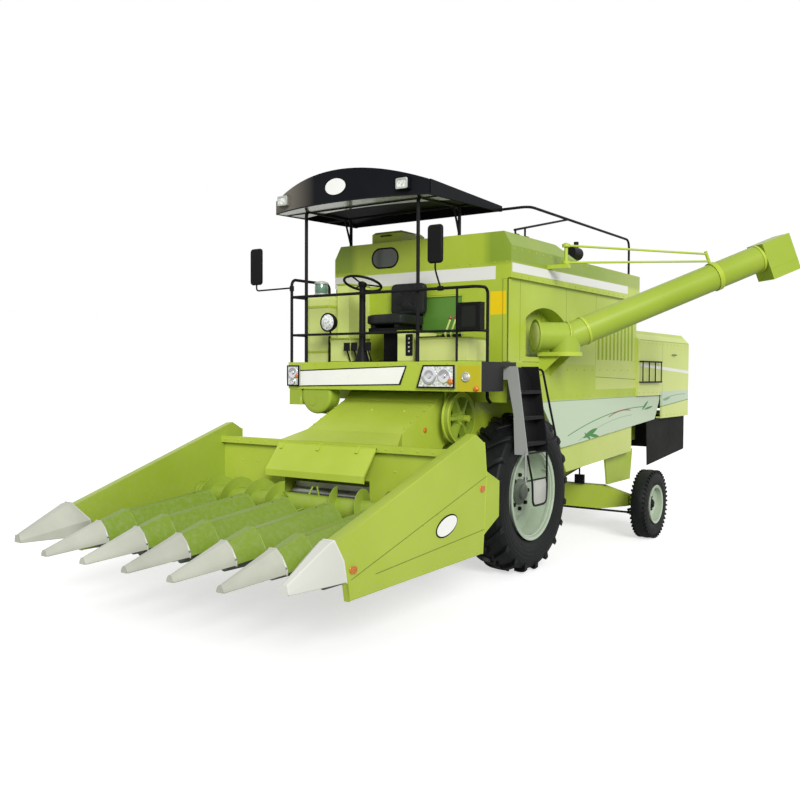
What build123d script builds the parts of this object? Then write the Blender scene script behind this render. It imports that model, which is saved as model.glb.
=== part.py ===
"""A self-propelled combine harvester with a maize header, as separate named pieces, in millimetres.

X runs to the machine's left, Y to its rear and Z up. All sizes are worked out from the ground under
the middle of the front axle; save() then moves each piece, so that the part's origin lies on the
ground under the middle of its whole box.
"""
import os
from math import cos, radians, sin

from build123d import *

os.makedirs("parts", exist_ok=True)

# Wheels and axles
front_track = 1920
front_tyre_radius = 776
front_tyre_width = 395
front_bead_radius = 432
front_stub_radius = 60
wheelbase = 2500
rear_track = 2800
rear_tyre_radius = 403
rear_tyre_width = 185
rear_bead_radius = 206
rear_stub_radius = 30
bead_gap = 0.3
shaft_gap = 0.08

# Lower body and its frame rails
core_half = 700
core_front_y = -380
body_rear_y = 3900
rail_bottom_z = 960
core_bottom_z = 1050
rail_width = 140
rail_front_y = -300
rail_rear_y = 3000
belt_z = 1660

# Upper body: grain tank in front, engine bay behind it
body_half = 1030
body_front_y = -354
sheet = 20
platform_z = 2040
tank_rear_y = 1750
bay_rear_y = 3018
bay_floor_z = 1760
band_half = 1065
band_bottom_z = 2840
band_top_z = 3145
crest_z = 3280
crest_half = 986
crest_rear_y = 760
crest_foot_y = 1140

# Straw hood and its rubber curtain
hood_half = 1060
hood_rear_y = 5030
hood_bottom_z = 1350
hood_fold_z = 2370
hood_top_z = 2490
hood_fold_inset = 110
curtain_half = 1008
curtain_thickness = 8
curtain_front_y = 3480
curtain_bottom_z = 810

# Driver's platform
platform_half = 1125
platform_front_y = -1025
fascia_bottom_z = 1772
deck_thickness = 40

# Canopy over the driver
canopy_middle_x = -325
canopy_half = 945
canopy_front_y = -1050
canopy_rear_y = 270
canopy_bottom_z = 3550
canopy_edge_z = 3680
canopy_crown_z = 3856
canopy_rear_bottom_z = 3590
canopy_rear_edge_z = 3640
canopy_rear_crown_z = 3700
canopy_wall = 25
post_radius = 17
rail_radius = 14
rail_top_z = 2700
rail_middle_z = 2315

# Unloading auger: a swivel on the body's left side
swivel_x = 1250
swivel_y = 450
auger_tube_radius = 139
auger_axis_z = 2310
auger_turned_deg = 43.6
auger_rise_deg = 22
auger_stub_length = 320
auger_bend_at = 50
auger_reach = 2437
spout_length = 330

# Feeder and header, as raised in the parked pose
lift_y = -650
lift_z = 1515
feeder_half = 550
feeder_mouth_half = 700
feeder_round = 235
header_back_y = -1690
header_back_z = 1320
header_half = 1450
end_thickness = 110
rows = 6
row_spacing = 470
cap_rear_y = -3420
cap_tip_y = -4060
cross_auger_y = -1990
cross_auger_z = 790
cross_auger_tube = 95
cross_auger_flight = 190

# Lift cylinders between the front axle and the feeder's floor
cylinder_x = 350
cylinder_base_y = -170
cylinder_base_z = 600
cylinder_eye_y = -1380
cylinder_eye_z = 760
barrel_radius = 45
barrel_length = 640
rod_radius = 30
rod_length = 1000

# The part's origin, from the outermost pieces: mirror and spout across, snout tips and hood along
mirror_reach_x = -1670
auger_turned = radians(auger_turned_deg)
auger_rise = radians(auger_rise_deg)
spout_reach_x = swivel_x + auger_reach * sin(auger_turned) + auger_tube_radius * cos(auger_turned)
origin_x = (mirror_reach_x + spout_reach_x) / 2
origin_y = (cap_tip_y + hood_rear_y) / 2


def save(piece, label):
    """Name a finished piece, move it to the part's origin and write it."""
    placed = piece.moved(Location((-origin_x, -origin_y, 0)))
    placed.label = label
    export_step(placed, f"parts/{label}.step")


def side_plane(x):
    """The plane across the machine at x, with its local axes along Y and Z; it faces +X."""
    return Plane.YZ.offset(x)


def cross_plane(y):
    """The plane along the machine at y, with its local axes along X and Z; it faces the front."""
    return Plane.XZ.offset(-y)


def level_plane(z):
    """The level plane at height z, with its local axes along X and Y; it faces up."""
    return Plane.XY.offset(z)


def block(low, high, mode=Mode.ADD):
    """A box in the active part from its lowest corner to its highest."""
    middle = tuple((a + b) / 2 for a, b in zip(low, high))
    sizes = [b - a for a, b in zip(low, high)]
    with Locations(middle):
        Box(*sizes, mode=mode)


def rod(start, end, radius, mode=Mode.ADD):
    """A round bar in the active part from start to end."""
    path = Vector(*end) - Vector(*start)
    with BuildSketch(Plane(origin=start, z_dir=path)) as section:
        Circle(radius)
    extrude(section.sketch, amount=path.length, mode=mode)


def tube(points, radius, bend):
    """A bent round tube in the active part along straight runs joined by arcs of radius bend."""
    with BuildLine() as route:
        FilletPolyline(*points, radius=bend)
    with BuildSketch(Plane(origin=points[0], z_dir=Vector(*points[1]) - Vector(*points[0]))) as section:
        Circle(radius)
    sweep(section.sketch, path=route.line)


def foot(x, y, z, half=30, thickness=9):
    """A small foot plate in the active part, lying on height z."""
    block((x - half, y - half, z), (x + half, y + half, z + thickness))


def tyre(x, y, radius, width, bead_radius):
    """A tyre turned about its axle: a crowned tread, bulged sidewalls and a bore for the rim."""
    bead_half = 0.36 * width
    tread_half = 0.42 * width
    shoulder = radius - 0.09 * width
    waist = bead_radius + 0.5 * (radius - bead_radius)
    with BuildPart() as ring:
        with BuildSketch(Plane(origin=(x, y, radius), x_dir=(1, 0, 0), z_dir=(0, -1, 0))):
            with BuildLine():
                Line((-bead_half, bead_radius), (bead_half, bead_radius))
                ThreePointArc((bead_half, bead_radius), (width / 2, waist), (tread_half, shoulder))
                ThreePointArc((tread_half, shoulder), (0, radius), (-tread_half, shoulder))
                ThreePointArc((-tread_half, shoulder), (-width / 2, waist), (-bead_half, bead_radius))
            make_face()
        revolve(axis=Axis((x, y, radius), (1, 0, 0)))
    return ring.part


def rim(x, y, z, side, half, bead_radius, flange, disc_x, disc_step, hub_radius, bore, holes, hole_circle):
    """A pressed wheel: a barrel with two flanges and a dished disc with its bolt holes.

    side is 1 on the machine's left and -1 on its right, where the dish faces the other way.
    """
    wall = 10
    outer = bead_radius - bead_gap
    inner = outer - wall
    lip = bead_radius + flange
    with BuildPart() as wheel:
        with BuildSketch(Plane(origin=(x, y, z), x_dir=(side, 0, 0), z_dir=(0, -side, 0))):
            Polygon(
                (-half, lip), (-half, inner), (half, inner), (half, lip),
                (half - wall, lip), (half - wall, outer), (wall - half, outer), (wall - half, lip),
                align=None,
            )
            Polygon(
                (disc_x, bore), (disc_x, 0.55 * inner), (disc_x + disc_step, 0.72 * inner),
                (disc_x + disc_step, inner + 1), (disc_x + disc_step - wall, inner + 1),
                (disc_x + disc_step - wall, 0.72 * inner), (disc_x - wall, 0.55 * inner),
                (disc_x - wall, bore),
                align=None,
            )
            Polygon(
                (disc_x - 4 * wall, bore), (disc_x - 4 * wall, hub_radius), (disc_x + wall, hub_radius),
                (disc_x + wall, bore),
                align=None,
            )
        revolve(axis=Axis((x, y, z), (1, 0, 0)))
        with Locations(Plane(origin=(x, y, z), x_dir=(0, 1, 0), z_dir=(1, 0, 0))):
            with PolarLocations(hole_circle, holes):
                Cylinder(0.09 * hole_circle, 4 * half, mode=Mode.SUBTRACT)
    return wheel.part


# Wheels: tyres out to the tips of their lugs, and rims
for side, word in ((1, "left"), (-1, "right")):
    front_x = side * front_track / 2
    rear_x = side * rear_track / 2
    save(tyre(front_x, 0, front_tyre_radius, front_tyre_width, front_bead_radius), f"front_tyre_{word}")
    save(
        rim(front_x, 0, front_tyre_radius, side, 182, front_bead_radius, 22, 20, -45, 105,
            front_stub_radius + shaft_gap, 8, 165),
        f"front_rim_{word}",
    )
    save(tyre(rear_x, wheelbase, rear_tyre_radius, rear_tyre_width, rear_bead_radius), f"rear_tyre_{word}")
    save(
        rim(rear_x, wheelbase, rear_tyre_radius, side, 88, rear_bead_radius, 17, 10, 22, 55,
            rear_stub_radius + shaft_gap, 6, 85),
        f"rear_rim_{word}",
    )

# Front axle: a beam with a gearbox, final drives, saddles under the rails and lift cylinder ears
final_drive_x = 630
with BuildPart() as front_axle:
    rod((-final_drive_x, 0, front_tyre_radius), (final_drive_x, 0, front_tyre_radius), 75)
    block((-210, -150, front_tyre_radius - 170), (210, 190, front_tyre_radius + 150))
    for side in (1, -1):
        with BuildSketch(side_plane(side * final_drive_x - 50)):
            with Locations((0, front_tyre_radius)):
                Circle(120)
        extrude(amount=100)
        rod(
            (side * final_drive_x, 0, front_tyre_radius),
            (side * (front_track / 2 + 55), 0, front_tyre_radius),
            front_stub_radius,
        )
        saddle_x = side * (core_half - rail_width / 2)
        block((saddle_x - 50, -90, front_tyre_radius + 60), (saddle_x + 50, 90, rail_bottom_z))
        for ear in (-1, 1):
            ear_x = side * cylinder_x + ear * (barrel_radius + 12)
            with BuildSketch(side_plane(ear_x - 6)):
                Polygon(
                    (-60, front_tyre_radius), (40, front_tyre_radius - 40),
                    (cylinder_base_y + 30, cylinder_base_z - 35),
                    (cylinder_base_y - 35, cylinder_base_z - 20),
                    (cylinder_base_y - 35, cylinder_base_z + 40),
                    align=None,
                )
            extrude(amount=12)
        rod(
            (side * cylinder_x - barrel_radius - 18, cylinder_base_y, cylinder_base_z),
            (side * cylinder_x + barrel_radius + 18, cylinder_base_y, cylinder_base_z),
            16,
        )
save(front_axle.part, "front_axle")

# Frame rails with cross members
with BuildPart() as chassis:
    for side in (1, -1):
        rail_x = side * (core_half - rail_width / 2)
        block(
            (rail_x - rail_width / 2, rail_front_y, rail_bottom_z),
            (rail_x + rail_width / 2, rail_rear_y, core_bottom_z),
        )
    for cross_y in (rail_front_y + 60, 900, rail_rear_y - 60):
        block(
            (-core_half + rail_width, cross_y - 50, rail_bottom_z),
            (core_half - rail_width, cross_y + 50, core_bottom_z),
        )
save(chassis.part, "chassis")

# Threshing body: the core between the wheels and the wide floor of the tank and the engine bay
cheek_x = feeder_half + 10
cheek = 25
with BuildPart() as threshing_body:
    with BuildSketch(side_plane(-core_half)):
        Polygon(
            (core_front_y, 1150), (rail_front_y, core_bottom_z), (body_rear_y, core_bottom_z),
            (body_rear_y, belt_z), (core_front_y, belt_z),
            align=None,
        )
    extrude(amount=2 * core_half)
    block((-body_half, body_front_y, belt_z), (body_half, tank_rear_y, platform_z))
    block((-body_half, tank_rear_y, belt_z), (body_half, bay_rear_y, bay_floor_z))
    for side in (1, -1):
        inner_x = side * cheek_x if side > 0 else side * cheek_x - cheek
        with BuildSketch(side_plane(inner_x)):
            Polygon(
                (core_front_y, 1200), (core_front_y, fascia_bottom_z), (lift_y - 60, fascia_bottom_z),
                (lift_y - 110, lift_z), (lift_y - 60, lift_z - 150),
                align=None,
            )
        extrude(amount=cheek)
    rod((-cheek_x - 60, lift_y, lift_z), (cheek_x + 230, lift_y, lift_z), 30)
save(threshing_body.part, "threshing_body")

# Side shields over the belt drives, one on each side
with BuildPart() as side_shields:
    for side in (1, -1):
        with BuildSketch(side_plane(core_half if side > 0 else -body_half)):
            Polygon(
                (350, belt_z), (850, 1150), (3722, 1345), (body_rear_y, 1600), (body_rear_y, belt_z),
                align=None,
            )
        extrude(amount=body_half - core_half)
        with BuildSketch(side_plane(core_half if side > 0 else -body_half + 25)):
            Polygon((850, 1150), (1040, 880), (2950, 975), (2950, 1293), align=None)
        extrude(amount=body_half - core_half - 25)
save(side_shields.part, "side_shields")

# Grain tank: sheet walls, a raised roof with a hatch opening, and the recess for the auger's stub
recess_front_y = 20
recess_rear_y = 900
recess_depth = 170
recess_bottom_z = 2100
recess_spring_z = 2480
recess_top_z = 2600
hatch_x = -440
hatch_width = 380
hatch_front_y = -270
hatch_length = 420
hatch_height = 130
with BuildPart() as grain_tank:
    block((-body_half, body_front_y, platform_z), (body_half, tank_rear_y, band_bottom_z))
    block((-band_half, body_front_y, band_bottom_z), (band_half, tank_rear_y, band_top_z))
    with BuildPart(mode=Mode.PRIVATE) as crest:
        with BuildSketch(side_plane(-band_half)):
            Polygon(
                (body_front_y, band_top_z), (body_front_y, crest_z), (crest_rear_y, crest_z),
                (crest_foot_y, band_top_z),
                align=None,
            )
        extrude(amount=2 * band_half)
        with BuildSketch(cross_plane(crest_foot_y)):
            Polygon(
                (-band_half, band_top_z), (-crest_half, crest_z), (crest_half, crest_z),
                (band_half, band_top_z),
                align=None,
            )
        extrude(amount=crest_foot_y - body_front_y, mode=Mode.INTERSECT)
    add(crest.part)
    block(
        (-body_half + sheet, body_front_y + sheet, platform_z + sheet),
        (body_half - sheet, tank_rear_y - sheet, band_top_z - sheet),
        mode=Mode.SUBTRACT,
    )
    with BuildPart(mode=Mode.PRIVATE) as crest_inside:
        with BuildSketch(side_plane(-band_half)):
            Polygon(
                (body_front_y + sheet, band_top_z - sheet), (body_front_y + sheet, crest_z - sheet),
                (crest_rear_y - 0.3 * sheet, crest_z - sheet), (crest_foot_y - sheet, band_top_z - sheet),
                align=None,
            )
        extrude(amount=2 * band_half)
        with BuildSketch(cross_plane(crest_foot_y)):
            Polygon(
                (-body_half + sheet, band_top_z - sheet), (-crest_half + sheet, crest_z - sheet),
                (crest_half - sheet, crest_z - sheet), (body_half - sheet, band_top_z - sheet),
                align=None,
            )
        extrude(amount=crest_foot_y - body_front_y, mode=Mode.INTERSECT)
    add(crest_inside.part, mode=Mode.SUBTRACT)
    block(
        (body_half - recess_depth - sheet, recess_front_y - sheet, platform_z),
        (body_half, recess_rear_y + sheet, recess_top_z + sheet),
    )
    with BuildSketch(side_plane(body_half - recess_depth)):
        with BuildLine():
            Polyline(
                (recess_front_y, recess_spring_z), (recess_front_y, recess_bottom_z),
                (recess_rear_y, recess_bottom_z), (recess_rear_y, recess_spring_z),
            )
            ThreePointArc(
                (recess_front_y, recess_spring_z), ((recess_front_y + recess_rear_y) / 2, recess_top_z),
                (recess_rear_y, recess_spring_z),
            )
        make_face()
    extrude(amount=recess_depth + sheet, mode=Mode.SUBTRACT)
    block(
        (hatch_x - hatch_width / 2 + 30, hatch_front_y + 30, crest_z - 60),
        (hatch_x + hatch_width / 2 - 30, hatch_front_y + hatch_length - 30, crest_z + 10),
        mode=Mode.SUBTRACT,
    )
save(grain_tank.part, "grain_tank")

# Hatch on the tank's roof: a lid with a skirt, hinged at its rear edge
with BuildPart() as tank_hatch:
    hatch_z = crest_z + shaft_gap
    block(
        (hatch_x - hatch_width / 2, hatch_front_y, hatch_z),
        (hatch_x + hatch_width / 2, hatch_front_y + hatch_length, hatch_z + hatch_height),
    )
    chamfer(tank_hatch.edges().group_by(Axis.Z)[-1], 25)
    block(
        (hatch_x - hatch_width / 2 + sheet, hatch_front_y + sheet, hatch_z),
        (hatch_x + hatch_width / 2 - sheet, hatch_front_y + hatch_length - sheet, hatch_z + hatch_height - 30),
        mode=Mode.SUBTRACT,
    )
save(tank_hatch.part, "tank_hatch")

# Engine bay: sheet walls and roof with louvre slots in both sides
louvres = 10
louvre_first_y = 1820
louvre_last_y = 2860
louvre_bottom_z = 2100
louvre_top_z = 2580
louvre_width = 45
with BuildPart() as engine_bay:
    block((-body_half, tank_rear_y, bay_floor_z), (body_half, bay_rear_y, band_bottom_z))
    block((-band_half, tank_rear_y, band_bottom_z), (band_half, bay_rear_y, band_top_z))
    block(
        (-body_half + sheet, tank_rear_y + sheet, bay_floor_z),
        (body_half - sheet, bay_rear_y - sheet, band_top_z - sheet),
        mode=Mode.SUBTRACT,
    )
    for slot in range(louvres):
        slot_y = louvre_first_y + slot * (louvre_last_y - louvre_first_y) / (louvres - 1)
        for side in (1, -1):
            block(
                (side * body_half - sheet - 5, slot_y - louvre_width / 2, louvre_bottom_z),
                (side * body_half + sheet + 5, slot_y + louvre_width / 2, louvre_top_z),
                mode=Mode.SUBTRACT,
            )
save(engine_bay.part, "engine_bay")

# Engine: one plain block on the bay's floor
with BuildPart() as engine:
    block((-330, 1850, bay_floor_z), (330, 2930, bay_floor_z + 900))
    chamfer(engine.edges().filter_by(Axis.Y), 40)
save(engine.part, "engine")

# Straw hood: a folded shell, open below and behind
hood_wall = 20
with BuildPart() as rear_hood:
    with BuildSketch(cross_plane(hood_rear_y)):
        Polygon(
            (-hood_half, hood_bottom_z), (-hood_half, hood_fold_z),
            (-hood_half + hood_fold_inset, hood_top_z), (hood_half - hood_fold_inset, hood_top_z),
            (hood_half, hood_fold_z), (hood_half, hood_bottom_z),
            align=None,
        )
    extrude(amount=hood_rear_y - bay_rear_y)
    with BuildSketch(cross_plane(hood_rear_y - hood_wall)):
        Polygon(
            (-hood_half + hood_wall, hood_bottom_z + hood_wall), (-hood_half + hood_wall, hood_fold_z - 8),
            (-hood_half + hood_fold_inset + 8, hood_top_z - hood_wall),
            (hood_half - hood_fold_inset - 8, hood_top_z - hood_wall),
            (hood_half - hood_wall, hood_fold_z - 8), (hood_half - hood_wall, hood_bottom_z + hood_wall),
            align=None,
        )
    extrude(amount=hood_rear_y - bay_rear_y - 2 * hood_wall, mode=Mode.SUBTRACT)
    block(
        (-hood_half, bay_rear_y, hood_bottom_z), (hood_half, body_rear_y, belt_z), mode=Mode.SUBTRACT
    )
    block(
        (-curtain_half + 28, body_rear_y, hood_bottom_z),
        (curtain_half - 28, hood_rear_y - 60, hood_bottom_z + hood_wall),
        mode=Mode.SUBTRACT,
    )
    block((-820, hood_rear_y - 30, hood_bottom_z + 60), (820, hood_rear_y, 1900), mode=Mode.SUBTRACT)
save(rear_hood.part, "rear_hood")

# Rubber curtain under the hood: two sides and a rear
with BuildPart() as rubber_curtain:
    with BuildSketch(side_plane(-curtain_half)):
        Polygon(
            (curtain_front_y, 1328), (curtain_front_y + 40, curtain_bottom_z - 60),
            (hood_rear_y - 20, curtain_bottom_z + 60), (hood_rear_y - 20, hood_bottom_z - shaft_gap),
            (body_rear_y - 178, hood_bottom_z - 5 - shaft_gap),
            align=None,
        )
    extrude(amount=2 * curtain_half)
    block(
        (-curtain_half + curtain_thickness, 0, 0),
        (curtain_half - curtain_thickness, hood_rear_y - 20 - curtain_thickness, hood_top_z),
        mode=Mode.SUBTRACT,
    )
save(rubber_curtain.part, "rubber_curtain")

# Driver's platform: deck, fascia, side plates and beams back to the body
side_plate_rear_y = -600
with BuildPart() as platform:
    block(
        (-platform_half, platform_front_y, platform_z - deck_thickness),
        (platform_half, body_front_y, platform_z),
    )
    block(
        (-platform_half, platform_front_y, fascia_bottom_z),
        (platform_half, platform_front_y + sheet, platform_z - deck_thickness),
    )
    for side in (1, -1):
        edge_x = side * platform_half
        block(
            (min(edge_x, edge_x - side * sheet), platform_front_y, fascia_bottom_z),
            (max(edge_x, edge_x - side * sheet), side_plate_rear_y, platform_z - deck_thickness),
        )
        beam_x = side * 620
        block((beam_x - 30, platform_front_y, fascia_bottom_z + 60), (beam_x + 30, body_front_y, platform_z))
save(platform.part, "platform")

# Headlights and their bezels on the fascia
with BuildPart() as headlights:
    for near_x, far_x, slant in ((470, 880, 70), (-1120, -960, 0)):
        with BuildSketch(cross_plane(platform_front_y)):
            Polygon(
                (near_x, 1800), (near_x + slant, 2010), (far_x, 2010), (far_x, 1800),
                align=None,
            )
        extrude(amount=22)
save(headlights.part, "headlights")

# Canopy: a crowned roof with a deep front visor, hollow below
with BuildPart() as canopy:
    for y, bottom, edge, crown in (
        (canopy_rear_y, canopy_rear_bottom_z, canopy_rear_edge_z, canopy_rear_crown_z),
        (canopy_front_y, canopy_bottom_z, canopy_edge_z, canopy_crown_z),
    ):
        with BuildSketch(cross_plane(y)):
            with BuildLine():
                Polyline(
                    (canopy_middle_x - canopy_half, edge), (canopy_middle_x - canopy_half, bottom),
                    (canopy_middle_x + canopy_half, bottom), (canopy_middle_x + canopy_half, edge),
                )
                ThreePointArc(
                    (canopy_middle_x + canopy_half, edge), (canopy_middle_x, crown),
                    (canopy_middle_x - canopy_half, edge),
                )
            make_face()
    loft(ruled=True)
    for y, bottom, edge, crown in (
        (canopy_rear_y - canopy_wall, canopy_rear_bottom_z - 20, canopy_rear_edge_z - 20,
         canopy_rear_crown_z - 25),
        (canopy_front_y + canopy_wall, canopy_bottom_z - 20, canopy_edge_z - 25, canopy_crown_z - 30),
    ):
        with BuildSketch(cross_plane(y)):
            with BuildLine():
                inside = canopy_half - canopy_wall
                Polyline(
                    (canopy_middle_x - inside, edge), (canopy_middle_x - inside, bottom),
                    (canopy_middle_x + inside, bottom), (canopy_middle_x + inside, edge),
                )
                ThreePointArc(
                    (canopy_middle_x + inside, edge), (canopy_middle_x, crown),
                    (canopy_middle_x - inside, edge),
                )
            make_face()
    loft(ruled=True, mode=Mode.SUBTRACT)
save(canopy.part, "canopy")

# Canopy frame: front posts from the deck, rear struts from the tank's roof, and cross tubes
front_post_y = platform_front_y + 50
front_posts_x = (-930, 430)
strut_y = -250
with BuildPart() as canopy_frame:
    for x in front_posts_x:
        tube(
            (
                (x, front_post_y, platform_z), (x, front_post_y, canopy_bottom_z + 10),
                (x, strut_y, canopy_bottom_z + 25), (x, strut_y, crest_z),
            ),
            post_radius, 50,
        )
        foot(x, strut_y, crest_z)
        rod((x, strut_y - 110, canopy_bottom_z + 22), (x, strut_y - 10, crest_z + 40), post_radius - 6)
    for y, z in ((front_post_y + 60, canopy_bottom_z + 11), (strut_y - 60, canopy_bottom_z + 23)):
        rod(
            (canopy_middle_x - canopy_half + canopy_wall, y, z),
            (canopy_middle_x + canopy_half - canopy_wall, y, z), post_radius - 4,
        )
save(canopy_frame.part, "canopy_frame")

# Platform rails: front bars, a loop on the right and a return on the left
rail_end_x = platform_half - 30
rail_front_y_upper = platform_front_y + 15
rail_return_y = platform_front_y + 180
loop_rear_y = body_front_y - 60
loop_top_z = rail_top_z + 180
loop_radius = rail_radius + 1
with BuildPart() as platform_rails:
    tube(
        (
            (rail_end_x, rail_return_y, platform_z), (rail_end_x, rail_return_y, rail_top_z),
            (rail_end_x, rail_front_y_upper, rail_top_z), (-rail_end_x, rail_front_y_upper, rail_top_z),
        ),
        rail_radius, 60,
    )
    tube(
        (
            (-rail_end_x, rail_front_y_upper, platform_z), (-rail_end_x, rail_front_y_upper, loop_top_z),
            (-rail_end_x, loop_rear_y, loop_top_z), (-rail_end_x, loop_rear_y, platform_z),
        ),
        loop_radius, 60,
    )
    tube(
        (
            (rail_end_x, rail_return_y, rail_middle_z), (rail_end_x, rail_front_y_upper, rail_middle_z),
            (-rail_end_x, rail_front_y_upper, rail_middle_z),
        ),
        rail_radius - 2, 60,
    )
    rod(
        (rail_end_x - 220, rail_front_y_upper, platform_z), (rail_end_x - 220, rail_front_y_upper, rail_top_z),
        rail_radius - 3,
    )
    for z in (rail_top_z, rail_middle_z):
        rod((-rail_end_x, rail_front_y_upper, z), (-rail_end_x, loop_rear_y, z), rail_radius - 3)
save(platform_rails.part, "platform_rails")

# Mirrors on bent arms, clamped to the front bar and to the right loop
with BuildPart() as mirrors:
    for x, low, high, clamp_x, clamp_z, clamp_run, held in (
        (642, 2930, 3280, 700, rail_top_z, Vector(40, 0, 0), rail_radius),
        (-1590, 2850, 3230, -rail_end_x, 2790, Vector(0, 0, 40), loop_radius),
    ):
        clamp_at = Vector(clamp_x, rail_front_y_upper, clamp_z)
        block((x - 80, rail_front_y_upper - 15, low), (x + 80, rail_front_y_upper + 15, high))
        tube(((x, rail_front_y_upper, low + 20), (x, rail_front_y_upper, low - 60), clamp_at), 8, 25)
        block(clamp_at - Vector(26, 26, 26), clamp_at + Vector(26, 26, 26))
        rod(clamp_at - clamp_run, clamp_at + clamp_run, held + shaft_gap, mode=Mode.SUBTRACT)
save(mirrors.part, "mirrors")

# Seat on its pedestal
seat_x = -50
with BuildPart() as seat:
    block((seat_x - 130, -780, platform_z), (seat_x + 130, -470, 2400))
    block((seat_x - 230, -880, 2400), (seat_x + 230, -430, 2510))
    block((seat_x - 220, -470, 2510), (seat_x + 220, -370, 2850))
save(seat.part, "seat")

# Steering column and wheel
wheel_x = -250
with BuildPart() as steering_column:
    rod((wheel_x, -930, platform_z), (wheel_x, -930, 2790), 28)
    with BuildSketch(Plane(origin=(wheel_x, -930, 2790), x_dir=(1, 0, 0), z_dir=(0, 0.32, 0.95))):
        Circle(195)
        Circle(172, mode=Mode.SUBTRACT)
        Rectangle(360, 30)
        Rectangle(30, 360)
        Circle(45)
    extrude(amount=22)
save(steering_column.part, "steering_column")

# Consoles on the deck: lever box, valve box, cabinet, toolbox and the levers on it
with BuildPart() as consoles:
    for low_x, high_x, front_y, rear_y, top in (
        (-670, -410, -900, -600, 2270), (150, 330, -900, -500, 2330), (360, 920, -900, -560, 2255),
        (-750, -600, -700, body_front_y, 2830),
    ):
        block((low_x, front_y, platform_z), (high_x, rear_y, top))
    for step in range(4):
        lever_x = 560 + 60 * step
        rod((lever_x, -740, 2250), (lever_x + 30, -660, 2450), 9)
save(consoles.part, "consoles")

# Oil tank with a rounded top at the right of the deck
with BuildPart() as oil_tank:
    block((-1070, -800, platform_z), (-770, -500, 2720))
    fillet(oil_tank.edges().group_by(Axis.Z)[-1], 40)
save(oil_tank.part, "oil_tank")

# Ladder on the left side: two stringers, treads and a hanging lower step
ladder_front_y = -420
ladder_width = 370
with BuildPart() as ladder:
    for y in (ladder_front_y, ladder_front_y + ladder_width):
        with BuildSketch(cross_plane(y)):
            Polygon(
                (1031, platform_z - deck_thickness), (1190, platform_z - deck_thickness), (1305, 1190),
                (1205, 1190), (1185, 1520), (1031, 1900),
                align=None,
            )
        extrude(amount=15)
    for step in range(4):
        tread_z = 1240 + step * 230
        tread_x = 1250 - 0.13 * (tread_z - 1240)
        block(
            (tread_x - 60, ladder_front_y - 5, tread_z), (tread_x + 60, ladder_front_y + ladder_width - 10, tread_z + 25)
        )
    for y in (ladder_front_y - 8, ladder_front_y + ladder_width - 8):
        rod((1290, y, 1230), (1320, y, 700), 9)
    rod((1320, ladder_front_y - 8, 700), (1320, ladder_front_y + ladder_width - 8, 700), 9)
    rod((1305, ladder_front_y - 8, 960), (1305, ladder_front_y + ladder_width - 8, 960), 9)
save(ladder.part, "ladder")

# Rails along the tank's top on the left
top_rail_x = 950
top_rail_z = 3600
rail_foot_y = bay_rear_y - 60
with BuildPart() as tank_rails:
    tube(
        (
            (top_rail_x, -70, crest_z), (top_rail_x, -70, top_rail_z), (top_rail_x, rail_foot_y, top_rail_z),
            (top_rail_x, rail_foot_y, band_top_z),
        ),
        rail_radius, 90,
    )
    foot(top_rail_x, -70, crest_z)
    foot(top_rail_x, rail_foot_y, band_top_z)
    rod((top_rail_x, 200, crest_z + 5), (top_rail_x, 200, crest_z + 60), rail_radius - 3)
    foot(top_rail_x, 200, crest_z)
    rod((top_rail_x, -70, crest_z + 50), (top_rail_x, 1150, top_rail_z), rail_radius - 3)
save(tank_rails.part, "tank_rails")

# Exhaust on the bay's roof
with BuildPart() as exhaust:
    rod((700, 1850, band_top_z), (700, 1850, band_top_z + 130), 35)
    rod((700, 1740, band_top_z + 190), (700, 1960, band_top_z + 190), 75)
    rod((700, 1920, band_top_z + 240), (700, 1920, band_top_z + 330), 28)
save(exhaust.part, "exhaust")

# Swivel bracket for the unloading auger: a shelf below and a pin above
shelf_top_z = auger_axis_z - auger_tube_radius - 20
pin_foot_z = 3030
pin_top_z = 3240
with BuildPart() as auger_bracket:
    with BuildSketch(level_plane(shelf_top_z - 40)):
        with Locations((swivel_x, swivel_y)):
            Circle(170)
        with Locations(((body_half + swivel_x) / 2, swivel_y)):
            Rectangle(swivel_x - body_half, 340)
    extrude(amount=40)
    for y in (swivel_y - 120, swivel_y + 120):
        with BuildSketch(cross_plane(y + 8)):
            Polygon(
                (body_half, shelf_top_z - 40), (swivel_x, shelf_top_z - 40), (body_half, shelf_top_z - 240),
                align=None,
            )
        extrude(amount=16)
    block((band_half, swivel_y - 35, pin_foot_z - 40), (swivel_x + 35, swivel_y + 35, pin_foot_z))
    rod((swivel_x, swivel_y, pin_foot_z), (swivel_x, swivel_y, pin_top_z), 18)
save(auger_bracket.part, "auger_bracket")

# Unloading auger: stub, long rising tube, spout and turntable
turn = Vector(sin(auger_turned), cos(auger_turned), 0)
climb = Vector(turn.X * cos(auger_rise), turn.Y * cos(auger_rise), sin(auger_rise))
swivel = Vector(swivel_x, swivel_y, auger_axis_z)
mouth_end = swivel - turn * auger_stub_length
bend = swivel + turn * auger_bend_at
tube_length = (auger_reach - auger_bend_at) / cos(auger_rise)
tube_end = bend + climb * tube_length
with BuildPart() as unloading_auger:
    rod(mouth_end, bend, auger_tube_radius)
    rod(bend, tube_end, auger_tube_radius)
    with Locations(bend):
        Sphere(auger_tube_radius)
    rod(mouth_end, mouth_end + turn * 20, auger_tube_radius + 25)
    rod(
        swivel - Vector(0, 0, auger_tube_radius + 20 - shaft_gap), swivel, 150,
    )
    spout_plane = Plane(origin=tube_end, x_dir=turn.cross(Vector(0, 0, 1)), z_dir=climb)
    with BuildSketch(spout_plane.offset(-spout_length)):
        with Locations((0, 0)):
            Rectangle(2 * auger_tube_radius, 2 * auger_tube_radius)
    extrude(amount=spout_length)
save(unloading_auger.part, "unloading_auger")

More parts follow.
